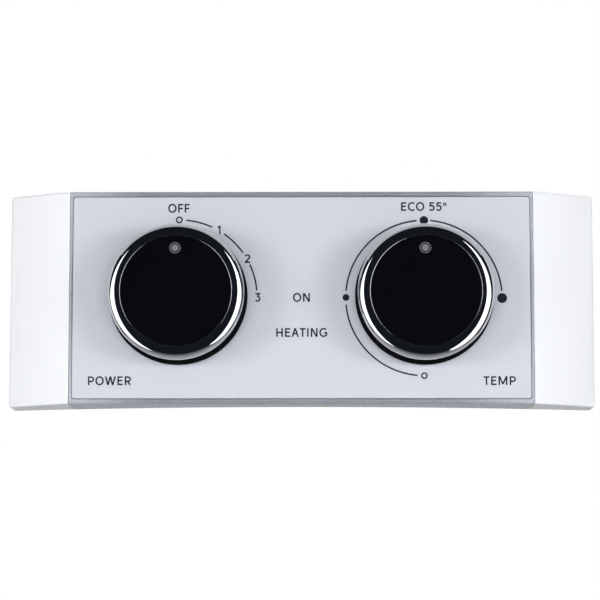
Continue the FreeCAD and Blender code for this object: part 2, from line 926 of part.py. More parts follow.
# Power switch: base with the room for its cam drum and slots for its terminals
def make_switch_base(x):
    base = slab(x, 0, switch_width / 2, switch_tall / 2, switch_split, switch_back, switch_corner)
    screw_room = switch_split + switch_screw_pocket
    base = base.cut(slab(x, 0, cavity_half, cavity_half, switch_split - over, switch_floor, switch_corner))
    for side in (-1, 1):
        z = side * device_screw_spacing / 2
        px = x + side * rivet_x
        pz = side * rivet_z
        base = base.cut(bar(x, z, large_shank + screw_gap, switch_split - over, screw_room))
        base = base.cut(bar(px, pz, rivet_radius + fit_gap, switch_split - over, switch_back + over))
    slot = block(
        blade_inner - fit_gap, blade_outer + fit_gap,
        switch_floor - over, switch_back + over,
        -tab_width / 2 - fit_gap, tab_width / 2 + fit_gap,
    )
    for turn in range(4):
        base = base.cut(placed(slot, 90 * turn, x, 0))
    return base


# Four blades round the switch axis
def make_switch_terminals(x):
    blade = tab(tab_width, tab_thickness, switch_floor - tab_inside, switch_back + tab_length)
    blade.translate(V((blade_inner + blade_outer) / 2, 0, 0))
    return [placed(blade, 90 * turn, x, 0) for turn in range(4)]


# Contact leaves, each on the inner face of its terminal
def make_switch_contacts(x):
    tip = switch_floor - contact_setback
    leaf = block(
        contact_inner, blade_inner,
        tip - contact_length, tip,
        -contact_width / 2, contact_width / 2,
    )
    return [placed(leaf, 90 * turn, x, 0) for turn in range(4)]


# A lobe of the cam drum between two angles clockwise from the top, seen from the front
def sector(radius, y0, y1, angle0, angle1):
    wedge = Part.makeCylinder(radius, y1 - y0, V(0, y0, 0), V(0, 1, 0), angle1 - angle0)
    start = math.degrees(math.atan2(*first_corner(wedge)))
    wedge.rotate(V(0, 0, 0), V(0, 1, 0), angle0 - start)
    return wedge


# X and Z of the corner that a fresh sector starts from
def first_corner(wedge):
    planes = [face for face in wedge.Faces if face.Surface.TypeId == "Part::GeomPlane"]
    flat = [face for face in planes if face.BoundBox.YLength > fit_gap]
    middles = [face.CenterOfMass for face in flat]
    angles = [math.degrees(math.atan2(m.x, m.z)) % 360 for m in middles]
    first = middles[0] if (angles[1] - angles[0]) % 360 < 180 else middles[1]
    return first.x, first.z


# Cam drum: a star wheel for the detent, then one lobe for each contact level
def make_switch_cam(x):
    y = switch_split + turning_gap
    back = switch_floor - turning_gap
    drum = bar(0, 0, drum_radius, y, back)
    star = bar(0, 0, star_radius, y, y + star_depth)
    for n in range(round(360 / detent_pitch)):
        angle = math.radians(detent_pitch * (n + 0.5))
        notch = bar(star_radius * math.sin(angle), star_radius * math.cos(angle), star_notch, y - over, back)
        star = star.cut(notch)
    drum = drum.fuse(star)
    lobe_front = y + star_depth + first_lobe_gap
    for angle0, angle1 in lobe_angles:
        drum = drum.fuse(sector(lobe_radius, lobe_front, lobe_front + lobe_height, angle0, angle1))
        lobe_front += lobe_height + lobe_gap
    drum = drum.cut(bar(0, 0, spindle_radius + fit_gap, y - over, back + over))
    drum.translate(V(x, 0, 0))
    return drum.removeSplitter()


# Detent roller in a corner of the switch room, and the leaf spring behind it
def make_detent_roller(x):
    y = switch_split + fit_gap
    return placed(bar(roller_reach, 0, roller_radius, y, y + star_depth), -detent_angle, x, 0)


def make_detent_spring(x):
    y = switch_split + fit_gap
    near = roller_reach + roller_radius
    leaf = block(near, near + detent_leaf, y, y + star_depth, -detent_leaf_half, detent_leaf_half)
    return placed(leaf, -detent_angle, x, 0)


def make_switch_rivets(x):
    rivets = []
    for side in (-1, 1):
        px = x + side * rivet_x
        pz = side * rivet_z
        stem = bar(px, pz, rivet_radius, carrier_back, switch_back + rivet_head_height)
        near = bar(px, pz, rivet_head, carrier_back, carrier_back + rivet_head_height)
        rear = bar(px, pz, rivet_head, switch_back, switch_back + rivet_head_height)
        rivets.append(stem.fuse(near).fuse(rear).removeSplitter())
    return rivets


# Thermostat: steel frame with its neck and two legs that grip the base
def make_thermostat_frame(x):
    frame = slab(x, 0, thermostat_width / 2, thermostat_tall / 2, carrier_back, base_front, switch_corner)
    for side in (-1, 1):
        outer = x + side * thermostat_width / 2
        inner = outer - side * frame_sheet
        frame = frame.fuse(block(
            min(outer, inner), max(outer, inner),
            carrier_back, carrier_back + frame_leg_length,
            -frame_leg_width / 2, frame_leg_width / 2,
        ))
    frame = frame.fuse(bar(x, 0, neck_radius, neck_front, carrier_back))
    frame = frame.cut(bar(x, 0, spindle_radius + running_gap, neck_front - over, base_front + over))
    for side in (-1, 1):
        z = side * device_screw_spacing / 2
        frame = frame.cut(bar(x, z, large_shank + screw_gap, carrier_back - over, base_front + over))
    return frame.removeSplitter()


# Thermostat: ceramic base with a pocket for the capsule and a room for the contacts
def make_thermostat_base(x):
    base = slab(x, 0, base_half, base_half_height, base_front, base_back, base_corner)
    base = base.cut(bar(x, 0, capsule_pocket, base_front - over, pocket_floor))
    base = base.cut(bar(x, 0, push_pin_radius + fit_gap, pocket_floor - over, room_front + over))
    room_x = contact_room_x / 2
    room_z = contact_room_z / 2
    base = base.cut(slab(x, 0, room_x, room_z, room_front, base_back + over, base_corner))
    groove = nipple_radius + nipple_groove
    exit_x = x + nipple_offset
    groove_end = capsule_axis + groove
    base = base.cut(block(exit_x - groove, exit_x + groove, base_front - over, groove_end, -far, 0))
    screw_room = base_front + thermostat_screw_pocket
    for side in (-1, 1):
        z = side * device_screw_spacing / 2
        base = base.cut(bar(x, z, large_shank + clearance_hole, base_front - over, screw_room))
    return base


# Diaphragm capsule: two dished halves with a seamed rim and a boss on its back
def make_thermostat_capsule(x):
    rim_front = capsule_axis - capsule_rim / 2
    rim_back = capsule_axis + capsule_rim / 2
    return turned(
        x, 0,
        (0, capsule_front),
        (capsule_flat_radius, capsule_front),
        (capsule_dish_radius, rim_front),
        (capsule_radius, rim_front),
        (capsule_radius, rim_back),
        (capsule_dish_radius, rim_back),
        (capsule_flat_radius, capsule_back),
        (capsule_boss, capsule_back),
        (capsule_boss, pocket_floor),
        (0, pocket_floor),
    )


# Brass nipple of the capsule, where the capillary is brazed in, beside the lower screw
def make_capillary_nipple(x):
    top = math.sqrt(capsule_radius ** 2 - (nipple_offset - nipple_radius) ** 2)
    length = base_half_height + nipple_stand - top
    place = V(x + nipple_offset, capsule_axis, -top - length)
    nipple = Part.makeCylinder(nipple_radius, length, place, V(0, 0, 1))
    bore = Part.makeCylinder(nipple_bore, nipple_stand, place, V(0, 0, 1))
    return nipple.cut(bore)


def make_push_pin(x):
    return bar(x, 0, push_pin_radius, pocket_floor, snap_front)


# Snap leaf across the contact room
def make_snap_leaf(x):
    return block(
        x - snap_leaf_width / 2, x + snap_leaf_width / 2,
        snap_front, snap_front + snap_leaf,
        -snap_leaf_length / 2, snap_leaf_length / 2,
    )


def make_thermostat_terminals(x):
    blade = tab(tab_width, tab_thickness, snap_front + snap_leaf, cover_back + tab_length)
    return [placed(blade, 90, x, z) for z in (-tab_row, tab_row)]


# Rear cover of the thermostat with a slot round each terminal
def make_thermostat_cover(x):
    cover = slab(x, 0, base_half, base_half_height, base_back, cover_back, base_corner)
    half_x = tab_width / 2 + fit_gap
    half_z = tab_thickness / 2 + fit_gap
    slot = block(-half_x, half_x, base_back - over, cover_back + over, -half_z, half_z)
    for z in (-tab_row, tab_row):
        cover = cover.cut(placed(slot, 0, x, z))
    return cover


# Build every piece, one file for each
right_end = make_right_end()
pieces = {
    "bezel": make_bezel(),
    "left_end_cap": mirrored(right_end),
    "right_end_cap": right_end,
    "front_plate": make_front_plate(),
    "plate_adhesive": make_plate_film(),
    "light_box": make_light_box(),
    "indicator_board": make_indicator_board(),
    "indicator_lamps": make_indicator_lamps(),
    "board_resistors": make_board_resistors(),
    "board_terminals": make_board_terminals(),
    "board_screws": make_board_screws(),
    "carrier_plate": make_carrier_plate(),
    "carrier_screws": make_carrier_screws(),
    "end_cap_screws": make_end_screws(),
    "earth_tab": make_earth_tab(),
    "earth_screw": make_earth_screw(),
}
for name, (z, width) in windows.items():
    pieces[name + "_light_guide"] = make_light_guide(z, width)

switch_x = -knob_x
pieces["switch_cover"] = make_switch_cover(switch_x)
pieces["switch_base"] = make_switch_base(switch_x)
pieces["switch_rivets"] = make_switch_rivets(switch_x)
switch_screw_grip = switch_cover_thickness + switch_screw_pocket - screw_tip_gap
pieces["switch_screws"] = make_device_screws(switch_x, switch_screw_grip)
pieces["switch_terminals"] = make_switch_terminals(switch_x)
pieces["switch_contacts"] = make_switch_contacts(switch_x)
pieces["switch_detent_roller"] = make_detent_roller(switch_x)
pieces["switch_detent_spring"] = make_detent_spring(switch_x)
pieces["switch_cam"] = make_switch_cam(switch_x)

thermostat_x = knob_x
pieces["thermostat_frame"] = make_thermostat_frame(thermostat_x)
pieces["thermostat_base"] = make_thermostat_base(thermostat_x)
pieces["thermostat_cover"] = make_thermostat_cover(thermostat_x)
pieces["thermostat_capsule"] = make_thermostat_capsule(thermostat_x)
pieces["thermostat_push_pin"] = make_push_pin(thermostat_x)
pieces["thermostat_snap_leaf"] = make_snap_leaf(thermostat_x)
pieces["thermostat_terminals"] = make_thermostat_terminals(thermostat_x)
thermostat_screw_grip = frame_sheet + thermostat_screw_pocket - fit_gap
pieces["thermostat_screws"] = make_device_screws(thermostat_x, thermostat_screw_grip)
pieces["capillary_nipple"] = make_capillary_nipple(thermostat_x)

spindle_backs = {
    "power": (switch_x, switch_floor - turning_gap),
    "temp": (thermostat_x, capsule_front - turning_gap),
}
for name, (x, back) in spindle_backs.items():
    pieces[name + "_spindle"] = make_spindle(x, back)
    pieces[name + "_spindle_clip"] = make_spindle_clip(x)
    pieces[name + "_knob_body"] = make_knob_body(x)
    pieces[name + "_knob_ring"] = make_knob_ring(x)
    pieces[name + "_knob_cap"] = make_knob_cap(x)
    pieces[name + "_pointer_ring"] = make_pointer_ring(x)
    pieces[name + "_pointer"] = make_pointer(x)
    pieces[name + "_grip_strip"] = make_grip_strip(x)
    pieces[name + "_shaft_seal"] = make_shaft_seal(x)

for name, shape in pieces.items():
    solids = shape if isinstance(shape, list) else [shape]
    bodies = [solid for item in solids for solid in item.Solids]
    whole = bodies[0] if len(bodies) == 1 else Part.makeCompound(bodies)
    whole.exportStep("parts/" + name + ".step")
    print(name, len(bodies), "solid(s)", round(sum(body.Volume for body in bodies), 1), "mm3",
          "valid" if whole.isValid() else "INVALID")
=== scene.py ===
import math

import bmesh
import bpy
import numpy as np
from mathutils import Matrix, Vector


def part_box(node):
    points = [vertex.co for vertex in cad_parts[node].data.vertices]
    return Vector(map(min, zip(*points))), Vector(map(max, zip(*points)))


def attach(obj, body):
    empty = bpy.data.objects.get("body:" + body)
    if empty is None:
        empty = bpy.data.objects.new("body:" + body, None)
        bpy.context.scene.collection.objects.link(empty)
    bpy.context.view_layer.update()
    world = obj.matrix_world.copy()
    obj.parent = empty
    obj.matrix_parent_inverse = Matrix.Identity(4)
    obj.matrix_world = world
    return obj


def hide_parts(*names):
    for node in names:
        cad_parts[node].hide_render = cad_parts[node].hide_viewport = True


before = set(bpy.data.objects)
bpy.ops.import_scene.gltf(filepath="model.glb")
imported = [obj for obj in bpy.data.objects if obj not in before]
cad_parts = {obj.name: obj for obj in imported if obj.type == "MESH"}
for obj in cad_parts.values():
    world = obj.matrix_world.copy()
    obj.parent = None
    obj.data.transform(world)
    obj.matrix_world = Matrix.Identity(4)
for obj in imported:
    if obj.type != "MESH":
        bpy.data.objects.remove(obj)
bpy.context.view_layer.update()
mm = 0.001
print("frame loaded:", len(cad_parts), "nodes")


# an sRGB hex colour as linear red, green, blue and alpha
def linearColour(hexText):
    srgb = np.array([int(hexText[i:i + 2], 16) for i in (1, 3, 5)]) / 255
    linear = np.where(srgb <= 0.04045, srgb / 12.92, ((srgb + 0.055) / 1.055) ** 2.4)
    return (*linear.tolist(), 1.0)


# one shader node: an input is a plain value or another node's output socket
def addNode(tree, kind, inputs=None, **settings):
    node = tree.nodes.new("ShaderNode" + kind)
    for name, value in settings.items():
        setattr(node, name, value)
    for key, value in (inputs or {}).items():
        if isinstance(value, bpy.types.NodeSocket):
            tree.links.new(value, node.inputs[key])
        else:
            node.inputs[key].default_value = value
    return node


# a fresh material, its node tree and its principled shader with plain values on the sockets
def newMaterial(name, colour, sockets):
    material = bpy.data.materials.new(name)
    material.use_nodes = True
    tree = material.node_tree
    shader = tree.nodes["Principled BSDF"]
    shader.inputs["Base Color"].default_value = linearColour(colour)
    for socket, value in sockets.items():
        shader.inputs[socket].default_value = value
    return material, tree, shader


# the camera of the photograph: a little below the panel, looking slightly up
photoView = {
    "placeMm": (6.3, -833.4, -96.8),
    "aimMm": (-0.48, -18.4, -1.03),
    "lens": 141.0,
    "sensor": 36.0,
}
cameraData = bpy.data.cameras.new("photoCamera")
cameraData.lens = photoView["lens"]
cameraData.sensor_width = photoView["sensor"]
camera = bpy.data.objects.new("photoCamera", cameraData)
camera.location = Vector(photoView["placeMm"]) * mm
camera.rotation_euler = (Vector(photoView["aimMm"]) * mm - camera.location).to_track_quat("-Z", "Y").to_euler()
bpy.context.scene.collection.objects.link(camera)
bpy.context.scene.camera = camera
bpy.context.scene.view_settings.view_transform = "Standard"

# soft lamps left and right, one behind the camera, one behind the panel and a weak one over it: place and size in
# metres, watts
lamps = {
    "leftSoftbox": {"place": (-0.84, -1.00, -0.03), "size": (0.5, 0.2), "watts": 4.45},
    "rightSoftbox": {"place": (0.84, -1.00, -0.03), "size": (0.5, 0.2), "watts": 5.22},
    "frontSoftbox": {"place": (0.0, -1.6, -0.08), "size": (0.9, 0.3), "watts": 10.5},
    "rearSoftbox": {"place": (0.0, 1.6, 0.05), "size": (1.4, 0.66), "watts": 13.5},
    "topSoftbox": {"place": (0.0, 0.12, 0.75), "size": (0.5, 0.25), "watts": 1.9},
}
for name, lamp in lamps.items():
    lampData = bpy.data.lights.new(name, "AREA")
    lampData.shape = "RECTANGLE"
    lampData.size, lampData.size_y = lamp["size"]
    lampData.energy = lamp["watts"]
    lampObject = bpy.data.objects.new(name, lampData)
    lampObject.location = lamp["place"]
    lampObject.rotation_euler = (-Vector(lamp["place"])).to_track_quat("-Z", "Y").to_euler()
    lampObject.visible_camera = False
    lampObject.visible_glossy = False  # the cards below stand for them in the gloss
    bpy.context.scene.collection.objects.link(lampObject)

# white to the camera and to clear and shiny surfaces, softer as light on the object
ambientLight = 0.16
world = bpy.data.worlds.new("studio")
bpy.context.scene.world = world
world.use_nodes = True
tree = world.node_tree
rays = addNode(tree, "LightPath")
seen = addNode(tree, "Math", {0: rays.outputs["Is Camera Ray"], 1: rays.outputs["Is Glossy Ray"]}, operation="MAXIMUM")
seen = addNode(tree, "Math", {0: seen.outputs[0], 1: rays.outputs["Is Transmission Ray"]}, operation="MAXIMUM")
strength = addNode(tree, "MapRange", {"Value": seen.outputs[0], "To Min": ambientLight, "To Max": 1.0})
background = tree.nodes["Background"]
background.inputs["Color"].default_value = (1.0, 1.0, 1.0, 1.0)
tree.links.new(strength.outputs[0], background.inputs["Strength"])


# quads between neighbouring points of a rows by columns grid, closed round where asked
def gridFaces(rows, columns, closedRows=False, closedColumns=False):
    r, c = np.meshgrid(
        np.arange(rows if closedRows else rows - 1),
        np.arange(columns if closedColumns else columns - 1),
        indexing="ij",
    )
    nextR, nextC = (r + 1) % rows, (c + 1) % columns
    corners = [r * columns + c, nextR * columns + c, nextR * columns + nextC, r * columns + nextC]
    return np.stack(corners, axis=-1).reshape(-1, 4)


# a mesh object from points in millimetres: doubles merged, normals outwards, sharp past an angle
def makePiece(name, points, faces, material, sharpAngle=35.0):
    mesh = bpy.data.meshes.new(name)
    mesh.from_pydata((np.asarray(points).reshape(-1, 3) * mm).tolist(), [], faces)
    work = bmesh.new()
    work.from_mesh(mesh)
    bmesh.ops.remove_doubles(work, verts=work.verts, dist=1e-7)
    bmesh.ops.recalc_face_normals(work, faces=work.faces)
    work.to_mesh(mesh)
    work.free()
    mesh.shade_smooth()
    mesh.set_sharp_from_angle(angle=math.radians(sharpAngle))
    mesh.materials.append(material)
    piece = bpy.data.objects.new(name, mesh)
    bpy.context.scene.collection.objects.link(piece)
    return piece


# several shapes as one
def joinShapes(shapes):
    points, faces, count = [], [], 0
    for corners, quads in shapes:
        points.append(corners)
        faces += [[i + count for i in quad] for quad in quads]
        count += len(corners)
    return np.concatenate(points), faces


# a card of the studio is seen only in reflections
def hideButInGloss(card):
    card.visible_camera = False
    card.visible_diffuse = False
    card.visible_transmission = False
    card.visible_volume_scatter = False
    card.visible_shadow = False


# an even glow for the studio cards; fadeMm lets it grow from nothing between two Y
def cardMaterial(name, glow, fadeMm=None, tint=(1.0, 1.0, 1.0, 1.0)):
    material = bpy.data.materials.new(name)
    material.use_nodes = True
    tree = material.node_tree
    tree.nodes.clear()
    shine = addNode(tree, "Emission", {"Color": tint, "Strength": glow})
    if fadeMm:
        place = addNode(tree, "SeparateXYZ", {0: addNode(tree, "TexCoord").outputs["Object"]})
        fade = addNode(
            tree, "MapRange",
            {"Value": place.outputs["Y"], "From Min": fadeMm[0] * mm, "From Max": fadeMm[1] * mm, "To Max": glow},
        )
        tree.links.new(fade.outputs[0], shine.inputs["Strength"])
    output = addNode(tree, "OutputMaterial")
    tree.links.new(shine.outputs[0], output.inputs["Surface"])
    return material


# the studio round the panel: lengths in mm, the dome's reach in degrees; near and far are the X and Y of a side
# card's two ends, top and low the heights that its near end reaches
studio = {
    "floorZ": -300.0, "floorHalf": 6000.0, "floorColour": "#DADAD8", "floorRoughness": 0.8, "floorShine": 0.1,
    "floorFade": (300.0, 1250.0), "floorGlow": (0.6, 1.0),  # share of white at the two distances from the middle
    "domeRadius": 2200.0, "domeRows": 24, "domeColumns": 48, "domeReach": 94.0, "domeGlow": 0.016,
    "domeTint": (0.8, 0.95, 1.3, 1.0),
    "sideCards": {
        "leftCard": {"near": (-632.0, -765.0), "far": (-958.0, -180.0), "top": 590.0, "low": -1180.0, "glow": 2.8},
        "rightCard": {"near": (325.0, -517.0), "far": (170.0, -78.0), "top": 430.0, "low": -560.0, "glow": 3.0},
    },
    "sideSteps": 33, "sidePowers": {"top": 0.85, "low": 0.5},
    "tableZ": -1250.0, "tableY": (-1200.0, 4000.0), "tableHalf": 2600.0, "tableGlow": 0.6,
    "tableFade": (-1234.0, 250.0),
    "ceilingZ": 800.0, "ceilingY": (-308.0, 260.0), "ceilingHalf": 1100.0, "ceilingGlow": 0.7,
}

# the pale floor under the hanging panel: to the camera it runs out to the white round the studio, and it is clear
# from underneath, so that a view from below still shows the panel
floorMaterial, tree, shader = newMaterial(
    "paleStudioFloor", studio["floorColour"],
    {"Roughness": studio["floorRoughness"], "Specular IOR Level": studio["floorShine"]})
place = addNode(tree, "VectorMath", {0: addNode(tree, "TexCoord").outputs["Object"]}, operation="LENGTH")
fade = addNode(tree, "MapRange", {
    "Value": place.outputs["Value"], "From Min": studio["floorFade"][0] * mm, "From Max": studio["floorFade"][1] * mm,
    "To Min": studio["floorGlow"][0], "To Max": studio["floorGlow"][1]})
rays = addNode(tree, "LightPath")
seen = addNode(tree, "Math", {0: rays.outputs["Is Camera Ray"], 1: fade.outputs[0]}, operation="MULTIPLY")
white = addNode(tree, "Emission", {"Color": (1.0, 1.0, 1.0, 1.0), "Strength": 1.0})
blend = addNode(tree, "MixShader", {0: seen.outputs[0], 1: shader.outputs[0], 2: white.outputs[0]})
underside = addNode(tree, "NewGeometry").outputs["Backfacing"]
fromBelow = addNode(tree, "Math", {0: rays.outputs["Is Camera Ray"], 1: underside}, operation="MULTIPLY")
clear = addNode(tree, "BsdfTransparent")
blend = addNode(tree, "MixShader", {0: fromBelow.outputs[0], 1: blend.outputs[0], 2: clear.outputs[0]})
tree.links.new(blend.outputs[0], tree.nodes["Material Output"].inputs["Surface"])


# a level sheet between two Y
def levelSheet(name, z, spanY, halfX, material):
    corners = [(-halfX, spanY[0], z), (halfX, spanY[0], z), (halfX, spanY[1], z), (-halfX, spanY[1], z)]
    return makePiece(name, corners, [(0, 1, 2, 3)], material)


floor = levelSheet("studioFloor", studio["floorZ"], (-studio["floorHalf"], studio["floorHalf"]), studio["floorHalf"],
                   floorMaterial)
floor.visible_glossy = False  # the table card below stands for it in the gloss

# a dark dome before the panel: point = radius times the direction at a polar angle and a turn about -Y
polar, turn = np.meshgrid(
    np.radians(np.linspace(0, studio["domeReach"], studio["domeRows"])),
    np.linspace(0, 2 * np.pi, studio["domeColumns"], endpoint=False),
    indexing="ij",
)
domePoints = studio["domeRadius"] * np.stack(
    [np.sin(polar) * np.cos(turn), -np.cos(polar), np.sin(polar) * np.sin(turn)], axis=-1)
domeFaces = gridFaces(studio["domeRows"], studio["domeColumns"], closedColumns=True).tolist()
dome = makePiece("darkStudioDome", domePoints, domeFaces,
                 cardMaterial("darkStudioCloth", studio["domeGlow"], tint=studio["domeTint"]))

# a white card at each side, upright at its near end and run out to a point at the far one: with share = 1 - t squared,
# ground = near plus share times the way to far, height = 1 - share to a power, times top or low
share = 1 - np.linspace(0, 1, studio["sideSteps"])[:, None] ** 2
cards = [dome]
for name, card in studio["sideCards"].items():
    near, far = np.array(card["near"]), np.array(card["far"])
    ground = near + share * (far - near)
    edges = [np.concatenate([ground, (1 - share) ** power * card[end]], axis=1)
             for end, power in studio["sidePowers"].items()]
    cards.append(makePiece(name, edges, gridFaces(2, studio["sideSteps"]).tolist(),
                           cardMaterial(name + "Glow", card["glow"])))

# the table before the panel, which darkens towards the camera, and the ceiling over it
cards.append(levelSheet("tableCard", studio["tableZ"], studio["tableY"], studio["tableHalf"],
                        cardMaterial("tableGlow", studio["tableGlow"], studio["tableFade"])))
cards.append(levelSheet("ceilingCard", studio["ceilingZ"], studio["ceilingY"], studio["ceilingHalf"],
                        cardMaterial("ceilingGlow", studio["ceilingGlow"])))
for card in cards:
    hideButInGloss(card)
print("studio ready")

# finishes that one recipe makes: two close colours in patches, a roughness range and a fine grain
# patch and grain sizes are in mm, the grain's height is in microns
finishes = {
    # satin white, the even fine skin of a spark eroded mould
    "whiteMouldedAbs": {
        "slots": ["white_abs"], "colours": ("#F1F3F8", "#F4F6FA"), "patch": 14.0,
        "roughness": (0.48, 0.54), "grain": 0.45, "height": 3.0,
        "sockets": {"IOR": 1.54, "Specular IOR Level": 0.36},
    },
    # pale blue grey sheet with a silky front
    "silkPrintedSheet": {
        "slots": ["printed_plate"], "colours": ("#C8CCD7", "#CBCFD9"), "patch": 30.0,
        "roughness": (0.30, 0.36), "grain": 0.30, "height": 1.0, "sockets": {"IOR": 1.58},
    },
    # milky transfer adhesive, slightly tacky shine
    "milkyAdhesiveFilm": {
        "slots": ["adhesive_film"], "colours": ("#D9D8CF", "#E4E2D8"), "patch": 5.0,
        "roughness": (0.25, 0.45), "grain": 0.8, "height": 8.0, "sockets": {"IOR": 1.47, "Transmission Weight": 0.3},
    },
    # opaque white moulding that keeps the lamp light in
    "whiteReflectorPlastic": {
        "slots": ["white_inner"], "colours": ("#EEEDE8", "#F4F3EF"), "patch": 8.0,
        "roughness": (0.42, 0.5), "grain": 0.4, "height": 4.0, "sockets": {"IOR": 1.54},
    },
    # polished clear block with faint flow lines
    "clearAcrylicBlock": {
        "slots": ["clear_acrylic"], "colours": ("#F7FAFA", "#FFFFFF"), "patch": 6.0,
        "roughness": (0.03, 0.08), "grain": 1.2, "height": 2.0,
        "sockets": {"IOR": 1.49, "Transmission Weight": 1.0},
    },
    # blade terminals with a soft tin shine and wiped streaks
    "tinnedBrassSheet": {
        "slots": ["tinned_brass"], "colours": ("#C9C8C2", "#D8D7D3"), "patch": 1.6,
        "roughness": (0.22, 0.4), "grain": 0.25, "height": 2.0, "sockets": {"Metallic": 1.0},
    },
    # yellow metal, a little dulled
    "bareBrass": {
        "slots": ["bare_brass"], "colours": ("#C9A660", "#B8924E"), "patch": 1.2,
        "roughness": (0.2, 0.38), "grain": 0.2, "height": 2.0, "sockets": {"Metallic": 1.0},
    },
    # bright zinc with a bluish passivation and small dull spots
    "bluePassivatedZinc": {
        "slots": ["screw_steel"], "colours": ("#B9BEC6", "#CFCFD0"), "patch": 0.9,
        "roughness": (0.2, 0.36), "grain": 0.25, "height": 3.0, "sockets": {"Metallic": 1.0},
    },
    # blue grey rolled strip
    "rolledSpringSteel": {
        "slots": ["spring_steel"], "colours": ("#8F9297", "#A5A7AA"), "patch": 1.5,
        "roughness": (0.18, 0.32), "grain": 0.2, "height": 2.0, "sockets": {"Metallic": 1.0},
    },
    # matt black rubber with a dusty bloom
    "blackMouldedRubber": {
        "slots": ["seal_rubber"], "colours": ("#191A1B", "#242526"), "patch": 2.5,
        "roughness": (0.6, 0.75), "grain": 0.3, "height": 6.0, "sockets": {"IOR": 1.52},
    },
    # dark thermoset with a faint filler mottle and a dull polish
    "blackPhenolicMoulding": {
        "slots": ["black_phenolic"], "colours": ("#1B1A1A", "#262322"), "patch": 0.8,
        "roughness": (0.28, 0.42), "grain": 0.35, "height": 5.0, "sockets": {"IOR": 1.6},
    },
    # waxy off white
    "naturalNylon": {
        "slots": ["white_nylon"], "colours": ("#E9E6DA", "#F0EDE3"), "patch": 3.0,
        "roughness": (0.35, 0.45), "grain": 0.4, "height": 4.0, "sockets": {"IOR": 1.53, "Subsurface Weight": 0.2},
    },
    # chalky pressed ceramic with sparse specks
    "pressedSteatite": {
        "slots": ["steatite"], "colours": ("#E8E4D8", "#DAD5C6"), "patch": 1.1,
        "roughness": (0.5, 0.65), "grain": 0.3, "height": 12.0, "sockets": {"IOR": 1.59},
    },
    # deep gloss black of a polished mould
    "polishedBlackAbs": {
        "slots": ["gloss_black"], "colours": ("#060709", "#08090C"), "patch": 20.0,
        "roughness": (0.06, 0.09), "grain": 2.5, "height": 0.6, "sockets": {"IOR": 1.5},
    },
    # satin black of a lightly textured mould, for the skirt under the chrome
    "satinBlackMoulding": {
        "slots": ["satin_black"], "colours": ("#0C0D10", "#0F1013"), "patch": 6.0,
        "roughness": (0.7, 0.8), "grain": 0.35, "height": 2.0,
        "sockets": {"IOR": 1.45, "Specular IOR Level": 0.004},
    },
    # mirror chrome over plastic, with the slight waviness of the moulding under it
    "brightChromePlating": {
        "slots": ["chrome_ring"], "colours": ("#BEC1C6", "#C4C6CA"), "patch": 10.0,
        "roughness": (0.03, 0.05), "grain": 3.0, "height": 0.6, "sockets": {"Metallic": 1.0},
    },
    # grey pad print over the gloss cap
    "greyPointerInk": {
        "slots": ["pointer_grey"], "colours": ("#6A6B72", "#74757E"), "patch": 0.6,
        "roughness": (0.4, 0.5), "grain": 0.15, "height": 2.0, "sockets": {"IOR": 1.5},
    },
    # copper tracks under the solder mask, a lighter green with soft edges
    "maskedCopperTrack": {
        "slots": ["board_track"], "colours": ("#3F9A69", "#378D5E"), "patch": 1.0,
        "roughness": (0.25, 0.32), "grain": 0.3, "height": 2.0, "sockets": {"IOR": 1.55},
    },
    # reflowed solder, bright with a slightly frosted skin
    "tinSolder": {
        "slots": ["solder"], "colours": ("#C6C8C8", "#DADBD9"), "patch": 0.5,
        "roughness": (0.18, 0.34), "grain": 0.15, "height": 3.0, "sockets": {"Metallic": 1.0},
    },
    # dark slate screen print, slightly raised
    "slateScreenInk": {
        "slots": ["plate_ink"], "colours": ("#0D131D", "#121927"), "patch": 0.8,
        "roughness": (0.5, 0.6), "grain": 0.2, "height": 1.0, "sockets": {"IOR": 1.5, "Specular IOR Level": 0.3},
    },
}
patchSpan = (0.3, 0.7)  # nearly all of a noise pattern's values lie between these
finishForSlot = {}
for name, finish in finishes.items():
    material, tree, shader = newMaterial(name, finish["colours"][0], finish["sockets"])
    place = addNode(tree, "TexCoord").outputs["Object"]
    patches = addNode(tree, "TexNoise", {"Vector": place, "Scale": 1 / (finish["patch"] * mm), "Detail": 3.0})
    tint = addNode(
        tree, "Mix",
        {0: patches.outputs[0], 6: linearColour(finish["colours"][0]), 7: linearColour(finish["colours"][1])},
        data_type="RGBA",
    )
    rough = addNode(tree, "MapRange", {
        "Value": patches.outputs[0], "From Min": patchSpan[0], "From Max": patchSpan[1],
        "To Min": finish["roughness"][0], "To Max": finish["roughness"][1]})
    grain = addNode(tree, "TexNoise", {"Vector": place, "Scale": 1 / (finish["grain"] * mm), "Detail": 2.0})
    bump = addNode(tree, "Bump", {"Height": grain.outputs[0], "Distance": finish["height"] * 1e-6})
    tree.links.new(tint.outputs[2], shader.inputs["Base Color"])
    tree.links.new(rough.outputs[0], shader.inputs["Roughness"])
    tree.links.new(bump.outputs[0], shader.inputs["Normal"])
    for slot in finish["slots"]:
        finishForSlot[slot] = material

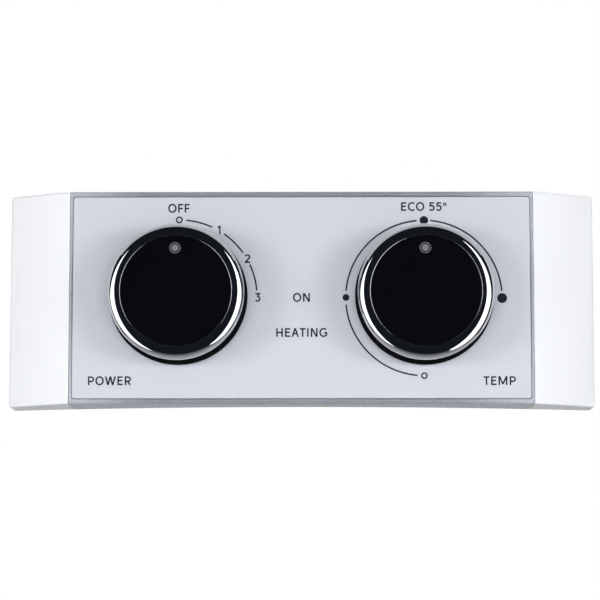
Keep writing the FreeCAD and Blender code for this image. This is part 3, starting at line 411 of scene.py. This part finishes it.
# silver paint over grey ABS: flake sparkle outside. Towards the ends the metallic share falls, so the paint renders
# paler there: this is painted light standing in for side light reflected at the ends.
# Bare grey moulding inside the walls, which is what lies behind wallBack, within innerX and within the drafted innerZ
# real flakes are about 0.03 mm, drawn at 0.28 mm so that they show
silverPaint = {
    "flake": 0.28, "dark": "#BABCC6", "light": "#D2D4DE", "bare": "#6E7074",
    "metallic": 0.9, "paintedLightEndMetallic": 0.48, "paintedLightEndX": (55.0, 80.5), "roughness": 0.6, "bareRoughness": 0.5,
    "innerX": 79.6, "innerZ": 36.4, "wallBack": -14.6, "draft": 0.0192, "front": -18.4,
}
material, tree, shader = newMaterial("silverPaintOnAbs", silverPaint["light"], {"IOR": 1.5})
place = addNode(tree, "TexCoord").outputs["Object"]
flakes = addNode(tree, "TexVoronoi", {"Vector": place, "Scale": 1 / (silverPaint["flake"] * mm)})
flakeTone = addNode(tree, "SeparateColor", {0: flakes.outputs["Color"]})
paint = addNode(tree, "Mix", {0: flakeTone.outputs[0], 6: linearColour(silverPaint["dark"]),
                              7: linearColour(silverPaint["light"])}, data_type="RGBA")
away = addNode(tree, "SeparateXYZ", {0: addNode(tree, "VectorMath", {0: place}, operation="ABSOLUTE").outputs[0]})
depth = addNode(tree, "SeparateXYZ", {0: place})
slope = addNode(tree, "Math", {0: depth.outputs["Y"], 1: -silverPaint["draft"], 2: away.outputs["Z"]},
                operation="MULTIPLY_ADD")
limits = [
    (away.outputs["X"], silverPaint["innerX"] * mm),
    (slope.outputs[0], (silverPaint["innerZ"] - silverPaint["front"] * silverPaint["draft"]) * mm),
]
inside = addNode(tree, "Math", {0: depth.outputs["Y"], 1: silverPaint["wallBack"] * mm},
                 operation="GREATER_THAN").outputs[0]
for value, limit in limits:
    within = addNode(tree, "Math", {0: value, 1: limit}, operation="LESS_THAN")
    inside = addNode(tree, "Math", {0: inside, 1: within.outputs[0]}, operation="MULTIPLY").outputs[0]
skin = addNode(tree, "Mix", {0: inside, 6: paint.outputs[2], 7: linearColour(silverPaint["bare"])}, data_type="RGBA")
# painted light: metallic falls from the middle towards the ends, so the ends render paler as if lit from the sides
paintedLightMetallic = addNode(tree, "MapRange", {
    "Value": away.outputs["X"], "From Min": silverPaint["paintedLightEndX"][0] * mm, "From Max": silverPaint["paintedLightEndX"][1] * mm,
    "To Min": silverPaint["metallic"], "To Max": silverPaint["paintedLightEndMetallic"]})
metal = addNode(tree, "MapRange", {"Value": inside, "To Min": paintedLightMetallic.outputs[0], "To Max": 0.0})
rough = addNode(tree, "MapRange", {"Value": inside, "To Min": silverPaint["roughness"],
                                   "To Max": silverPaint["bareRoughness"]})
tree.links.new(skin.outputs[2], shader.inputs["Base Color"])
tree.links.new(metal.outputs[0], shader.inputs["Metallic"])
tree.links.new(rough.outputs[0], shader.inputs["Roughness"])
finishForSlot["silver_paint"] = material

# hot dip galvanised sheet: flat crystals of a few millimetres, each with its own grey and shine, whose straight edges
# are bent by up to bend over a length of warp
spangle = {
    "crystal": 4.5, "warp": 3.3333, "bend": 1.2, "dark": "#9FA4A8", "light": "#C4C8CB", "roughness": (0.25, 0.45),
}
material, tree, shader = newMaterial("galvanisedSheet", spangle["light"], {"Metallic": 1.0})
place = addNode(tree, "TexCoord").outputs["Object"]
warp = addNode(tree, "TexNoise", {"Vector": place, "Scale": 1 / (spangle["warp"] * mm)})
bent = addNode(tree, "VectorMath", {0: warp.outputs["Color"], 1: [spangle["bend"] * mm] * 3, 2: place},
               operation="MULTIPLY_ADD")
crystals = addNode(tree, "TexVoronoi", {"Vector": bent.outputs[0], "Scale": 1 / (spangle["crystal"] * mm)})
tone = addNode(tree, "SeparateColor", {0: crystals.outputs["Color"]})
tint = addNode(tree, "Mix", {0: tone.outputs[0], 6: linearColour(spangle["dark"]), 7: linearColour(spangle["light"])},
               data_type="RGBA")
rough = addNode(tree, "MapRange", {"Value": tone.outputs[1], "To Min": spangle["roughness"][0],
                                   "To Max": spangle["roughness"][1]})
tree.links.new(tint.outputs[2], shader.inputs["Base Color"])
tree.links.new(rough.outputs[0], shader.inputs["Roughness"])
finishForSlot["zinc_steel"] = material

# fibreglass board: green solder mask on its faces, mottled by the weave of 1.1 mm under it, straw coloured cut edges
board = {"mask": "#1D5B3A", "maskDeep": "#174C30", "edge": "#B9B27C", "weave": 1.1111, "levelLimit": 0.5}
material, tree, shader = newMaterial("greenMaskedFibreglass", board["mask"], {"IOR": 1.55, "Roughness": 0.28})
place = addNode(tree, "TexCoord").outputs["Object"]
weave = addNode(tree, "TexNoise", {"Vector": place, "Scale": 1 / (board["weave"] * mm), "Detail": 2.0})
tint = addNode(tree, "Mix", {0: weave.outputs[0], 6: linearColour(board["maskDeep"]), 7: linearColour(board["mask"])},
               data_type="RGBA")
facing = addNode(tree, "SeparateXYZ", {0: addNode(tree, "NewGeometry").outputs["Normal"]})
flatness = addNode(tree, "Math", {0: facing.outputs["Y"]}, operation="ABSOLUTE")
onFace = addNode(tree, "Math", {0: flatness.outputs[0], 1: board["levelLimit"]}, operation="GREATER_THAN")
skin = addNode(tree, "Mix", {0: onFace.outputs[0], 6: linearColour(board["edge"]), 7: tint.outputs[2]},
               data_type="RGBA")
tree.links.new(skin.outputs[2], shader.inputs["Base Color"])
finishForSlot["circuit_board"] = material

# surface mounted lamps: cream package with a yellow phosphor window in the face
lampLook = {"package": "#E9E6DC", "phosphor": "#E2C24A", "pitch": 8.0, "window": 1.15, "rowZ": -12.3}
material, tree, shader = newMaterial("creamLampPackage", lampLook["package"], {"IOR": 1.55, "Roughness": 0.35})
place = addNode(tree, "SeparateXYZ", {0: addNode(tree, "TexCoord").outputs["Object"]})
acrossX = addNode(tree, "Math", {0: place.outputs["X"], 1: lampLook["pitch"] * mm / 2, 2: -lampLook["pitch"] * mm / 2},
                  operation="WRAP")
acrossZ = addNode(tree, "Math", {0: place.outputs["Z"], 1: -lampLook["rowZ"] * mm / 2, 2: lampLook["rowZ"] * mm / 2},
                  operation="WRAP")
spot = addNode(tree, "CombineXYZ", {0: acrossX.outputs[0], 1: acrossZ.outputs[0]})
reach = addNode(tree, "VectorMath", {0: spot.outputs[0]}, operation="LENGTH")
window = addNode(tree, "Math", {0: reach.outputs["Value"], 1: lampLook["window"] * mm}, operation="LESS_THAN")
skin = addNode(tree, "Mix", {0: window.outputs[0], 6: linearColour(lampLook["package"]),
                             7: linearColour(lampLook["phosphor"])}, data_type="RGBA")
tree.links.new(skin.outputs[2], shader.inputs["Base Color"])
finishForSlot["lamp_body"] = material

# chip resistors: black glaze in the middle, tinned ends
chipLook = {"glaze": "#17181A", "tin": "#C8C8C4", "pitch": 8.0, "glazeHalf": 1.15}
material, tree, shader = newMaterial("chipResistorGlaze", chipLook["glaze"], {"IOR": 1.6, "Roughness": 0.3})
place = addNode(tree, "SeparateXYZ", {0: addNode(tree, "TexCoord").outputs["Object"]})
across = addNode(tree, "Math", {0: place.outputs["X"], 1: chipLook["pitch"] * mm / 2, 2: -chipLook["pitch"] * mm / 2},
                 operation="WRAP")
away = addNode(tree, "Math", {0: across.outputs[0]}, operation="ABSOLUTE")
tinned = addNode(tree, "Math", {0: away.outputs[0], 1: chipLook["glazeHalf"] * mm}, operation="GREATER_THAN")
skin = addNode(tree, "Mix", {0: tinned.outputs[0], 6: linearColour(chipLook["glaze"]),
                             7: linearColour(chipLook["tin"])}, data_type="RGBA")
tree.links.new(skin.outputs[2], shader.inputs["Base Color"])
tree.links.new(tinned.outputs[0], shader.inputs["Metallic"])
finishForSlot["resistor_body"] = material

# each node's material is named by its slot in the record
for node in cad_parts.values():
    node.data.materials[0] = finishForSlot[node.data.materials[0].name]
print("finishes on", len(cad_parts), "nodes")


# an outline from rows of radius, height and round: each corner becomes a small curve that starts and ends its round
# away from it, or just under half the shorter side, with point = (1 - t) squared times start, plus 2t(1 - t) times
# corner, plus t squared times end
def roundCorners(rows, steps=7, sideShare=0.45):
    rows = np.array(rows, float)
    here, rounds = rows[:, :2], rows[:, 2]
    before, after = np.roll(here, 1, axis=0) - here, np.roll(here, -1, axis=0) - here
    longBefore, longAfter = np.linalg.norm(before, axis=1), np.linalg.norm(after, axis=1)
    cut = np.minimum(rounds, sideShare * np.minimum(longBefore, longAfter))[:, None]
    start = here + before / longBefore[:, None] * cut
    end = here + after / longAfter[:, None] * cut
    t = np.linspace(0, 1, steps)[None, :, None]
    curve = (1 - t) ** 2 * start[:, None] + 2 * t * (1 - t) * here[:, None] + t ** 2 * end[:, None]
    kept = (rounds[:, None] > 0) | (np.arange(steps)[None, :] == 0)
    return curve[kept]


# rings of points round axes along Y: ring i has its own axis X and Z, radius and level Y, and
# X = axis plus radius times the sine of the turn, Z = axis plus radius times its cosine
def ringPoints(axisX, axisZ, radius, y, segments):
    turn = np.linspace(0, 2 * np.pi, segments, endpoint=False)
    axisX, axisZ, radius, y = (v[:, None] for v in np.broadcast_arrays(axisX, axisZ, radius, y))
    return np.stack([axisX + radius * np.sin(turn), y + 0 * turn, axisZ + radius * np.cos(turn)], axis=-1)


# knob radii and heights above the plate, in mm; hold and dotHold set the rings that keep the shine flat
knob = {
    "x": {"power": -42.8, "temp": 42.8}, "top": 20.0, "gap": 0.8, "segments": 288, "seatGap": 0.05,
    "capRadius": 19.05, "capThickness": 2.0, "capRound": 0.22,
    "ringRadius": 23.4, "ringArc": 2.73, "arcSteps": 49, "ringFoot": 12.2, "ringSeat": 1.9,
    "lip": 0.4, "lipFall": 0.062, "lipSlope": 0.115,
    "skirtTop": 23.15, "skirtRadius": 24.3, "skirtHeight": 4.3, "skirtRound": 1.6,
    "footRadius": 23.0, "footThinning": 0.6,
    "wall": 2.0, "web": 2.6, "hubRadius": 6.2, "hubEnd": 0.4, "boreRadius": 3.05, "boreTop": 12.6,
    "fins": 6, "finThickness": 1.2, "finLow": 7.4, "finRoot": 0.25,
    "pointer": (-0.28, 14.7), "pointerRing": (1.64, 1.89), "pointerRadius": 1.21,
    "groove": 0.05, "grooveDepth": 0.6, "hold": 0.2, "dotHold": 0.3,
}
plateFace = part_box("front_plate")[0].y / mm
seatTop = knob["top"] - knob["capThickness"]
seatLow = seatTop - knob["ringSeat"]
webLow = seatTop - knob["web"]
spigot = knob["ringRadius"] - knob["ringSeat"]
inner = spigot - knob["wall"]
footInner = knob["footRadius"] - knob["wall"] + knob["footThinning"]


# a closed outline of radius and height above the plate, turned about a knob's axis
def turnedShape(x, axisZ, outline):
    rings = ringPoints(x, axisZ, outline[:, 0], plateFace - outline[:, 1], knob["segments"])
    faces = gridFaces(len(outline), knob["segments"], closedRows=True, closedColumns=True)
    return rings.reshape(-1, 3), faces.tolist()


# such a shape as a piece
def turnedPiece(name, x, axisZ, outline, material):
    return makePiece(name, *turnedShape(x, axisZ, outline), material)


# chromed ring: a small lip that slopes in to the cap, a quarter round down to a short wall, and the seat inside;
# radius = start plus reach times the sine of the turn, height = top less fall times one minus its cosine
lipStart = knob["capRadius"] + knob["seatGap"]
arcStart = lipStart + knob["lip"]
turn = np.radians(np.linspace(0, 90, knob["arcSteps"]))
quarter = np.stack([
    arcStart + (knob["ringRadius"] - arcStart) * np.sin(turn),
    knob["top"] - knob["ringArc"] * (1 - np.cos(turn)),
    0 * turn,
], axis=-1)
seat = np.array([
    (knob["ringRadius"], knob["ringFoot"], 0.2), (spigot, knob["ringFoot"], 0.1), (spigot, seatLow, 0.1),
    (lipStart, seatLow, 0.1), (lipStart, knob["top"] - knob["lipFall"], 0.05),
    (lipStart + knob["lipSlope"], knob["top"], 0.06),
])
ringOutline = roundCorners(np.concatenate([quarter, seat]))

# black moulding: seats for cap and ring, a flared skirt, the web, and the hub with its bore
capSeat, ringSeat = knob["capRadius"] - knob["seatGap"], spigot - knob["seatGap"]
bodyOutline = roundCorners([
    (0.0, seatTop, 0.0), (capSeat, seatTop, 0.1), (capSeat, seatLow, 0.1),
    (ringSeat, seatLow, 0.1), (ringSeat, knob["ringFoot"], 0.1), (knob["skirtTop"], knob["ringFoot"], 0.15),
    (knob["skirtRadius"], knob["skirtHeight"], knob["skirtRound"]), (knob["footRadius"], knob["gap"], 0.35),
    (footInner, knob["gap"], 0.3), (inner, knob["ringFoot"], 0.8),
    (inner, webLow, 0.5), (knob["hubRadius"], webLow, 0.4),
    (knob["hubRadius"], knob["hubEnd"], 0.25), (knob["boreRadius"], knob["hubEnd"], 0.3),
    (knob["boreRadius"], knob["boreTop"], 0.1), (0.0, knob["boreTop"], 0.0),
])

# stiffening fins inside it, from hub to wall and from the web down, rooted a little way into each: an outline of
# radius and height that follows the flare of the wall
root = knob["finRoot"]
flare = (knob["ringFoot"] - knob["finLow"]) / (knob["ringFoot"] - knob["gap"])
wallLow = inner + flare * (footInner - inner)
finOutline = np.array([
    (knob["hubRadius"] - root, webLow + root), (inner + root, webLow + root),
    (inner + root, knob["ringFoot"]), (wallLow + root, knob["finLow"]), (knob["hubRadius"] - root, knob["finLow"]),
])


# the fins of a knob: the outline set out by half the thickness to both sides of radial lines turned in even steps
def finShapes(x):
    turn = (np.arange(knob["fins"]) + 0.5)[:, None, None] * 2 * np.pi / knob["fins"]
    side = np.array([-0.5, 0.5])[None, :, None] * knob["finThickness"]
    radius, height = finOutline[:, 0][None, None], finOutline[:, 1][None, None]
    corners = np.stack([
        x + radius * np.sin(turn) + side * np.cos(turn), plateFace - height + 0 * (turn + side),
        radius * np.cos(turn) - side * np.sin(turn)], axis=-1)
    sides = gridFaces(2, len(finOutline), closedColumns=True).tolist()
    ends = [list(range(len(finOutline))), list(range(2 * len(finOutline) - 1, len(finOutline) - 1, -1))]
    return [(fin, sides + ends) for fin in corners.reshape(knob["fins"], -1, 3)]


# gloss cap: rings that start in the pointer hole and move over to the cap's own axis, so that hole, groove
# and rim are one closed surface; a ring close to the groove and one close to the rim keep the shine flat between them
def capSurface(name, x, material):
    hole = knob["pointerRadius"] + knob["groove"]
    ringInner, ringOuter = knob["pointerRing"][0] - knob["groove"], knob["pointerRing"][1] + knob["groove"]
    top, low, rim = knob["top"], knob["top"] - knob["grooveDepth"], knob["capRadius"]
    flatInner, flatOuter = ringOuter + knob["hold"], rim - knob["capRound"] - knob["hold"]
    outline = roundCorners([
        (hole, seatTop, 0), (hole, top, 0.05), (ringInner, top, 0.05), (ringInner, low, 0.03),
        (ringOuter, low, 0.03), (ringOuter, top, 0.05), (flatInner, top, 0),
        (flatOuter, top, 0), (rim, top, knob["capRound"]), (rim, seatTop, 0.15),
    ])
    share = np.where(outline[:, 0] > (flatInner + flatOuter) / 2, 0.0, 1.0)  # one on the pointer's axis
    rings = ringPoints(x + share * knob["pointer"][0], share * knob["pointer"][1], outline[:, 0],
                       plateFace - outline[:, 1], knob["segments"])
    faces = gridFaces(len(outline), knob["segments"], closedRows=True, closedColumns=True)
    return makePiece(name, rings, faces.tolist(), material)


# grey pointer: a thin ring in its groove, and a dot, flat on top, in its hole
inside, outside = knob["pointerRing"]
grooveLow = knob["top"] - knob["grooveDepth"]
pointerRing = roundCorners([
    (inside, knob["top"], 0.06), (outside, knob["top"], 0.06), (outside, grooveLow, 0.03), (inside, grooveLow, 0.03),
])
pointerDot = roundCorners([
    (0.0, knob["top"], 0.0), (knob["pointerRadius"] - knob["dotHold"], knob["top"], 0.0),
    (knob["pointerRadius"], knob["top"], 0.12), (knob["pointerRadius"], seatTop, 0.05), (0.0, seatTop, 0.0),
])

for side, x in knob["x"].items():
    shapes = [turnedShape(x, 0.0, bodyOutline)] + finShapes(x)
    body = makePiece(side + "KnobMoulding", *joinShapes(shapes), finishForSlot["satin_black"])
    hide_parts(side + "_knob_body")
    ring = turnedPiece(side + "ChromeRing", x, 0.0, ringOutline, finishForSlot["chrome_ring"])
    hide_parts(side + "_knob_ring")
    cap = capSurface(side + "GlossCap", x, finishForSlot["gloss_black"])
    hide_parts(side + "_knob_cap")
    place = (x + knob["pointer"][0], knob["pointer"][1])
    circle = turnedPiece(side + "PointerCircle", *place, pointerRing, finishForSlot["pointer_grey"])
    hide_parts(side + "_pointer_ring")
    dot = turnedPiece(side + "PointerDot", *place, pointerDot, finishForSlot["pointer_grey"])
    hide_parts(side + "_pointer")
    for piece in (body, ring, cap, circle, dot):
        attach(piece, side + "_knob")
print("knobs made")


# printed legends, in mm: cap height and line width for all, then middle X, middle Z and width of each word; scales
# are arcs in degrees clockwise from the top, rings have a radius and a line width, dots a radius
ink = {
    "cap": 3.08, "line": 0.53, "proud": 0.02, "sunk": 0.01, "scaleLine": 0.55, "scaleRadius": 27.3,
    "scaleSteps": 48, "ringSteps": 56, "dotSegments": 72,
    "words": {
        "legendOff": ("OFF", -42.98, 31.47, 7.57), "legendOn": ("ON", 0.0, -0.09, 5.92),
        "legendHeating": ("HEATING", 0.11, -12.4, 17.82), "legendPower": ("POWER", -66.85, -29.23, 14.98),
        "legendTemp": ("TEMP", 68.97, -29.28, 11.26), "legendEco55": ("ECO 55", 42.11, 32.0, 14.28),
        "digit1": ("1", -28.87, 23.75, 1.12), "digit2": ("2", -18.92, 13.62, 2.03),
        "digit3": ("3", -15.25, -0.03, 1.96),
    },
    "scales": {
        "powerScale": {"middle": (-42.8, 0.0), "arcs": ((5, 25), (35, 55), (65, 85))},
        "tempScale": {"middle": (42.8, -0.22), "arcs": ((5, 85), (-85, -5), (-175, -95))},
    },
    "rings": {"offMark": (-42.82, 27.35, 1.22, 0.52), "lowMark": (42.8, -27.54, 1.18, 0.5),
              "degreeMark": (50.3, 32.8, 0.62, 0.4)},
    "dots": {"ecoMark": (42.95, 27.1, 1.5), "highMark": (70.1, -0.38, 1.74), "middleMark": (15.57, -0.12, 1.2)},
}


# points of an elliptical arc between anticlockwise degrees from the right: its centre plus each radius times the
# cosine or the sine of the turn
def arc(centreX, centreY, radiusX, radiusY, start, end, steps=40):
    turn = np.radians(np.linspace(start, end, steps))
    return np.stack([centreX + radiusX * np.cos(turn), centreY + radiusY * np.sin(turn)], axis=-1)


# straight runs between points
def run(*points):
    return np.array(points, float)


# letters as the middle lines of their strokes, in cap heights: width, left and right spacing, strokes
# h is half a line; a straight slanted stroke ends in level cuts
h = ink["line"] / ink["cap"] / 2
glyphs = {
    "O": (0.955, 0.07, 0.07, [arc(0.4775, 0.5, 0.4775 - h, 0.52 - h, 0, 360, 72)]),
    "F": (0.58, 0.12, 0.05, [run((h, 0), (h, 1)), run((h, 1 - h), (0.58, 1 - h)), run((h, 0.47), (0.53, 0.47))]),
    "E": (0.61, 0.12, 0.08, [run((h, 0), (h, 1)), run((h, 1 - h), (0.59, 1 - h)), run((h, 0.52), (0.54, 0.52)),
                             run((h, h), (0.61, h))]),
    "N": (0.775, 0.12, 0.12, [run((h, 0), (h, 1)), run((0.1, 1), (0.675, 0)), run((0.775 - h, 0), (0.775 - h, 1))]),
    "H": (0.76, 0.12, 0.12, [run((h, 0), (h, 1)), run((0.76 - h, 0), (0.76 - h, 1)), run((h, 0.5), (0.76 - h, 0.5))]),
    "P": (0.70, 0.12, 0.06, [run((h, 0), (h, 1)),
                             np.concatenate([run((h, 1 - h)), arc(0.38, 0.668, 0.32 - h, 0.332 - h, 90, -90),
                                             run((h, 0.336 + h))])]),
    "R": (0.70, 0.12, 0.04, [run((h, 0), (h, 1)),
                             np.concatenate([run((h, 1 - h)), arc(0.38, 0.678, 0.32 - h, 0.322 - h, 90, -90),
                                             run((h, 0.356 + h))]),
                             run((0.36, 0.43), (0.60, 0))]),
    "W": (1.277, 0.02, 0.03, [run((0.10, 1), (0.37, 0)), run((0.38, 0), (0.634, 1)), run((0.643, 1), (0.897, 0)),
                              run((0.907, 0), (1.177, 1))]),
    "A": (0.86, 0.03, 0.03, [run((0.10, 0), (0.425, 1)), run((0.435, 1), (0.76, 0)), run((0.22, 0.36), (0.64, 0.36))]),
    "T": (0.67, 0.05, 0.05, [run((0, 1 - h), (0.67, 1 - h)), run((0.335, 0), (0.335, 1))]),
    "I": (2 * h, 0.12, 0.12, [run((h, 0), (h, 1))]),
    "M": (1.017, 0.12, 0.12, [run((h, 0), (h, 1)), run((0.10, 1), (0.505, 0.11)), run((0.512, 0.11), (0.917, 1)),
                              run((1.017 - h, 0), (1.017 - h, 1))]),
    "G": (0.90, 0.07, 0.10, [np.concatenate([arc(0.48, 0.5, 0.48 - h, 0.52 - h, 44, 318),
                                             run((0.90 - h, 0.22), (0.90 - h, 0.46), (0.54, 0.46))])]),
    "C": (0.80, 0.07, 0.05, [arc(0.48, 0.5, 0.48 - h, 0.52 - h, 48, 312)]),
    "1": (0.36, 0.05, 0.10, [run((0.36 - h, 0), (0.36 - h, 1)), run((0.02, 0.79), (0.14, 0.86), (0.36 - h, 0.95))]),
    "2": (0.655, 0.06, 0.06, [np.concatenate([arc(0.33, 0.70, 0.33 - h, 0.31 - h, 165, -38), run((0.10, 0.06))]),
                              run((0.02, h), (0.655, h))]),
    "3": (0.63, 0.06, 0.06, [run((0.04, 1 - h), (0.59, 1 - h)), run((0.50, 1 - h), (0.27, 0.58)),
                             arc(0.29, 0.33, 0.34 - h, 0.345 - h, 98, -150)]),
    "5": (0.65, 0.07, 0.07, [np.concatenate([run((0.58, 1 - h), (0.15, 1 - h), (0.12, 0.55)),
                                             arc(0.30, 0.335, 0.35 - h, 0.345 - h, 116, -148)])]),
    " ": (0.25, 0.07, 0.07, []),
}


# a stroke as a thin closed strip: its section, as wide as the line, stands on the plate and follows the points, and
# widens at a bend by one over the cosine of half the turn, up to a limit
def stripPoints(points, width, yFace, yBack, leastCosine=0.55, leastSlant=0.01):
    closed = np.allclose(points[0], points[-1])
    path = points[:-1] if closed else points
    ahead, behind = np.roll(path, -1, axis=0) - path, path - np.roll(path, 1, axis=0)
    if not closed:
        ahead[-1], behind[0] = behind[-1], ahead[0]
    ahead = ahead / np.linalg.norm(ahead, axis=1)[:, None]
    behind = behind / np.linalg.norm(behind, axis=1)[:, None]
    middle = ahead + behind
    middle = middle / np.linalg.norm(middle, axis=1)[:, None]
    across = np.stack([-middle[:, 1], middle[:, 0]], axis=-1)
    side = across / np.clip(np.sum(middle * ahead, axis=1), leastCosine, 1)[:, None]
    if len(path) == 2 and leastSlant < abs(middle[0, 0]) < 1 - leastSlant:
        side = run((1, 0), (1, 0)) / across[0, 0]  # a slanted stroke ends in level cuts
    left, right = path + side * width / 2, path - side * width / 2
    corners = [(left, yFace), (right, yFace), (right, yBack), (left, yBack)]
    section = [np.stack([p[:, 0], np.full(len(p), y), p[:, 1]], axis=-1) for p, y in corners]
    faces = gridFaces(len(path), 4, closedRows=closed, closedColumns=True).tolist()
    if not closed:
        last = 4 * (len(path) - 1)
        faces += [[0, 1, 2, 3], [last + 3, last + 2, last + 1, last]]
    return np.stack(section, axis=1).reshape(-1, 3), faces


# ink strips joined into one piece on the plate
def inkPiece(name, strokes, width):
    shapes = [stripPoints(stroke, width, plateFace - ink["proud"], plateFace + ink["sunk"]) for stroke in strokes]
    piece = makePiece(name, *joinShapes(shapes), finishForSlot["plate_ink"])
    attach(piece, "root")


# a word as strokes in mm, spread to its measured width about its middle
def wordStrokes(word, x, z, width, cap):
    sizes = [glyphs[letter] for letter in word]
    natural = sum(g[0] for g in sizes) + sum(a[2] + b[1] for a, b in zip(sizes, sizes[1:]))
    spare = (width / cap - natural) / max(len(word) - 1, 1)
    pen, strokes = -width / cap / 2, []
    for g, following in zip(sizes, sizes[1:] + [None]):
        for stroke in g[3]:
            strokes.append((stroke + (pen, -0.5)) * cap + (x, z))
        if following:
            pen += g[0] + g[2] + following[1] + spare
    return strokes


for name, (word, x, z, width) in ink["words"].items():
    inkPiece(name, wordStrokes(word, x, z, width, ink["cap"]), ink["line"])
radius = ink["scaleRadius"]
for name, scale in ink["scales"].items():
    strokes = [arc(*scale["middle"], radius, radius, 90 - start, 90 - end, ink["scaleSteps"])
               for start, end in scale["arcs"]]
    inkPiece(name, strokes, ink["scaleLine"])
for name, (x, z, radius, width) in ink["rings"].items():
    middle = radius - width / 2
    inkPiece(name, [arc(x, z, middle, middle, 0, 360, ink["ringSteps"])], width)
for name, (x, z, radius) in ink["dots"].items():
    outline = np.array([(0.0, ink["proud"]), (radius, ink["proud"]), (radius, -ink["sunk"]), (0.0, -ink["sunk"])])
    rings = ringPoints(x, z, outline[:, 0], plateFace - outline[:, 1], ink["dotSegments"])
    faces = gridFaces(len(outline), ink["dotSegments"], closedRows=True, closedColumns=True).tolist()
    dot = makePiece(name, rings, faces, finishForSlot["plate_ink"])
    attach(dot, "root")
print("legends printed")

# what is soldered on the back of the indicator board, in mm: tracks from the blades to the chips and a common one,
# a fillet round each blade as half length, half width and height at each level, and a wedge at each end of each chip
# as an outline of distance from that end and height
boardBack = {
    "columns": (-8.0, 0.0, 8.0), "rows": (-6.15, -12.3), "blades": (-5.0, 0.0, 5.0),
    "trackWidth": 0.55, "trackHigh": 0.035, "sunk": 0.01,
    "padReach": 1.4, "stepOut": 2.1, "commonReach": 2.6, "elbowZ": -3.3, "padZ": -1.2, "commonZ": -15.0,
    "fillet": ((2.0, 1.0, -0.01), (1.9, 0.95, 0.05), (1.6, 0.5, 0.22), (1.45, 0.3, 0.55)),
    "filletSegments": 32, "filletPower": 0.7,
    "chipEnd": 1.6, "wedge": ((-0.05, -0.01), (0.55, -0.01), (0.55, 0.03), (0.165, 0.147), (-0.05, 0.42)),
    "wedgeHalf": 0.736,
}
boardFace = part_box("indicator_board")[1].y / mm
high, low = boardBack["rows"]
reach, commonZ = boardBack["padReach"], boardBack["commonZ"]
tracks = [run((boardBack["columns"][0] - boardBack["commonReach"], commonZ),
              (boardBack["columns"][-1] + boardBack["commonReach"], commonZ))]
for x, blade in zip(boardBack["columns"], boardBack["blades"]):
    left, right = x - boardBack["stepOut"], x + boardBack["stepOut"]
    tracks += [
        run((x - reach, high), (left, high), (left, low), (x - reach, low)),
        run((x + reach, low), (right, low), (right, commonZ)),
        run((x + reach, high), (right, high), (right, boardBack["elbowZ"]), (blade, boardBack["padZ"])),
    ]
shapes = [stripPoints(track, boardBack["trackWidth"], boardFace + boardBack["trackHigh"],
                      boardFace - boardBack["sunk"]) for track in tracks]
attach(makePiece("boardTracks", *joinShapes(shapes), finishForSlot["board_track"]), "root")

# solder fillet: X = half length times the cosine of the turn to a power, which squares it off, Z = half width times
# its sine
levels = np.array(boardBack["fillet"])
count = boardBack["filletSegments"]
turn = np.linspace(0, 2 * np.pi, count, endpoint=False)
squared = np.sign(np.cos(turn)) * np.abs(np.cos(turn)) ** boardBack["filletPower"]
faces = gridFaces(len(levels), count, closedColumns=True).tolist()
faces += [list(range(count)), list(range(len(levels) * count - 1, (len(levels) - 1) * count - 1, -1))]
shapes = []
for x in boardBack["blades"]:
    rows = np.stack([x + levels[:, :1] * squared, boardFace + levels[:, 2:] + 0 * turn,
                     levels[:, 1:2] * np.sin(turn)], axis=-1)
    shapes.append((rows.reshape(-1, 3), faces))

# solder wedge: its outline at both ends of its width
wedge = np.array(boardBack["wedge"])
count = len(wedge)
faces = gridFaces(2, count, closedColumns=True).tolist()
faces += [list(range(count)), list(range(2 * count - 1, count - 1, -1))]
for x in boardBack["columns"]:
    for z in boardBack["rows"]:
        for way in (-1, 1):
            rows = np.stack([
                np.stack([x + way * (boardBack["chipEnd"] + wedge[:, 0]), boardFace + wedge[:, 1],
                          np.full(count, z + side * boardBack["wedgeHalf"])], axis=-1)
                for side in (-1, 1)])
            shapes.append((rows.reshape(-1, 3), faces))
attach(makePiece("boardSolder", *joinShapes(shapes), finishForSlot["solder"]), "root")
print("board soldered")
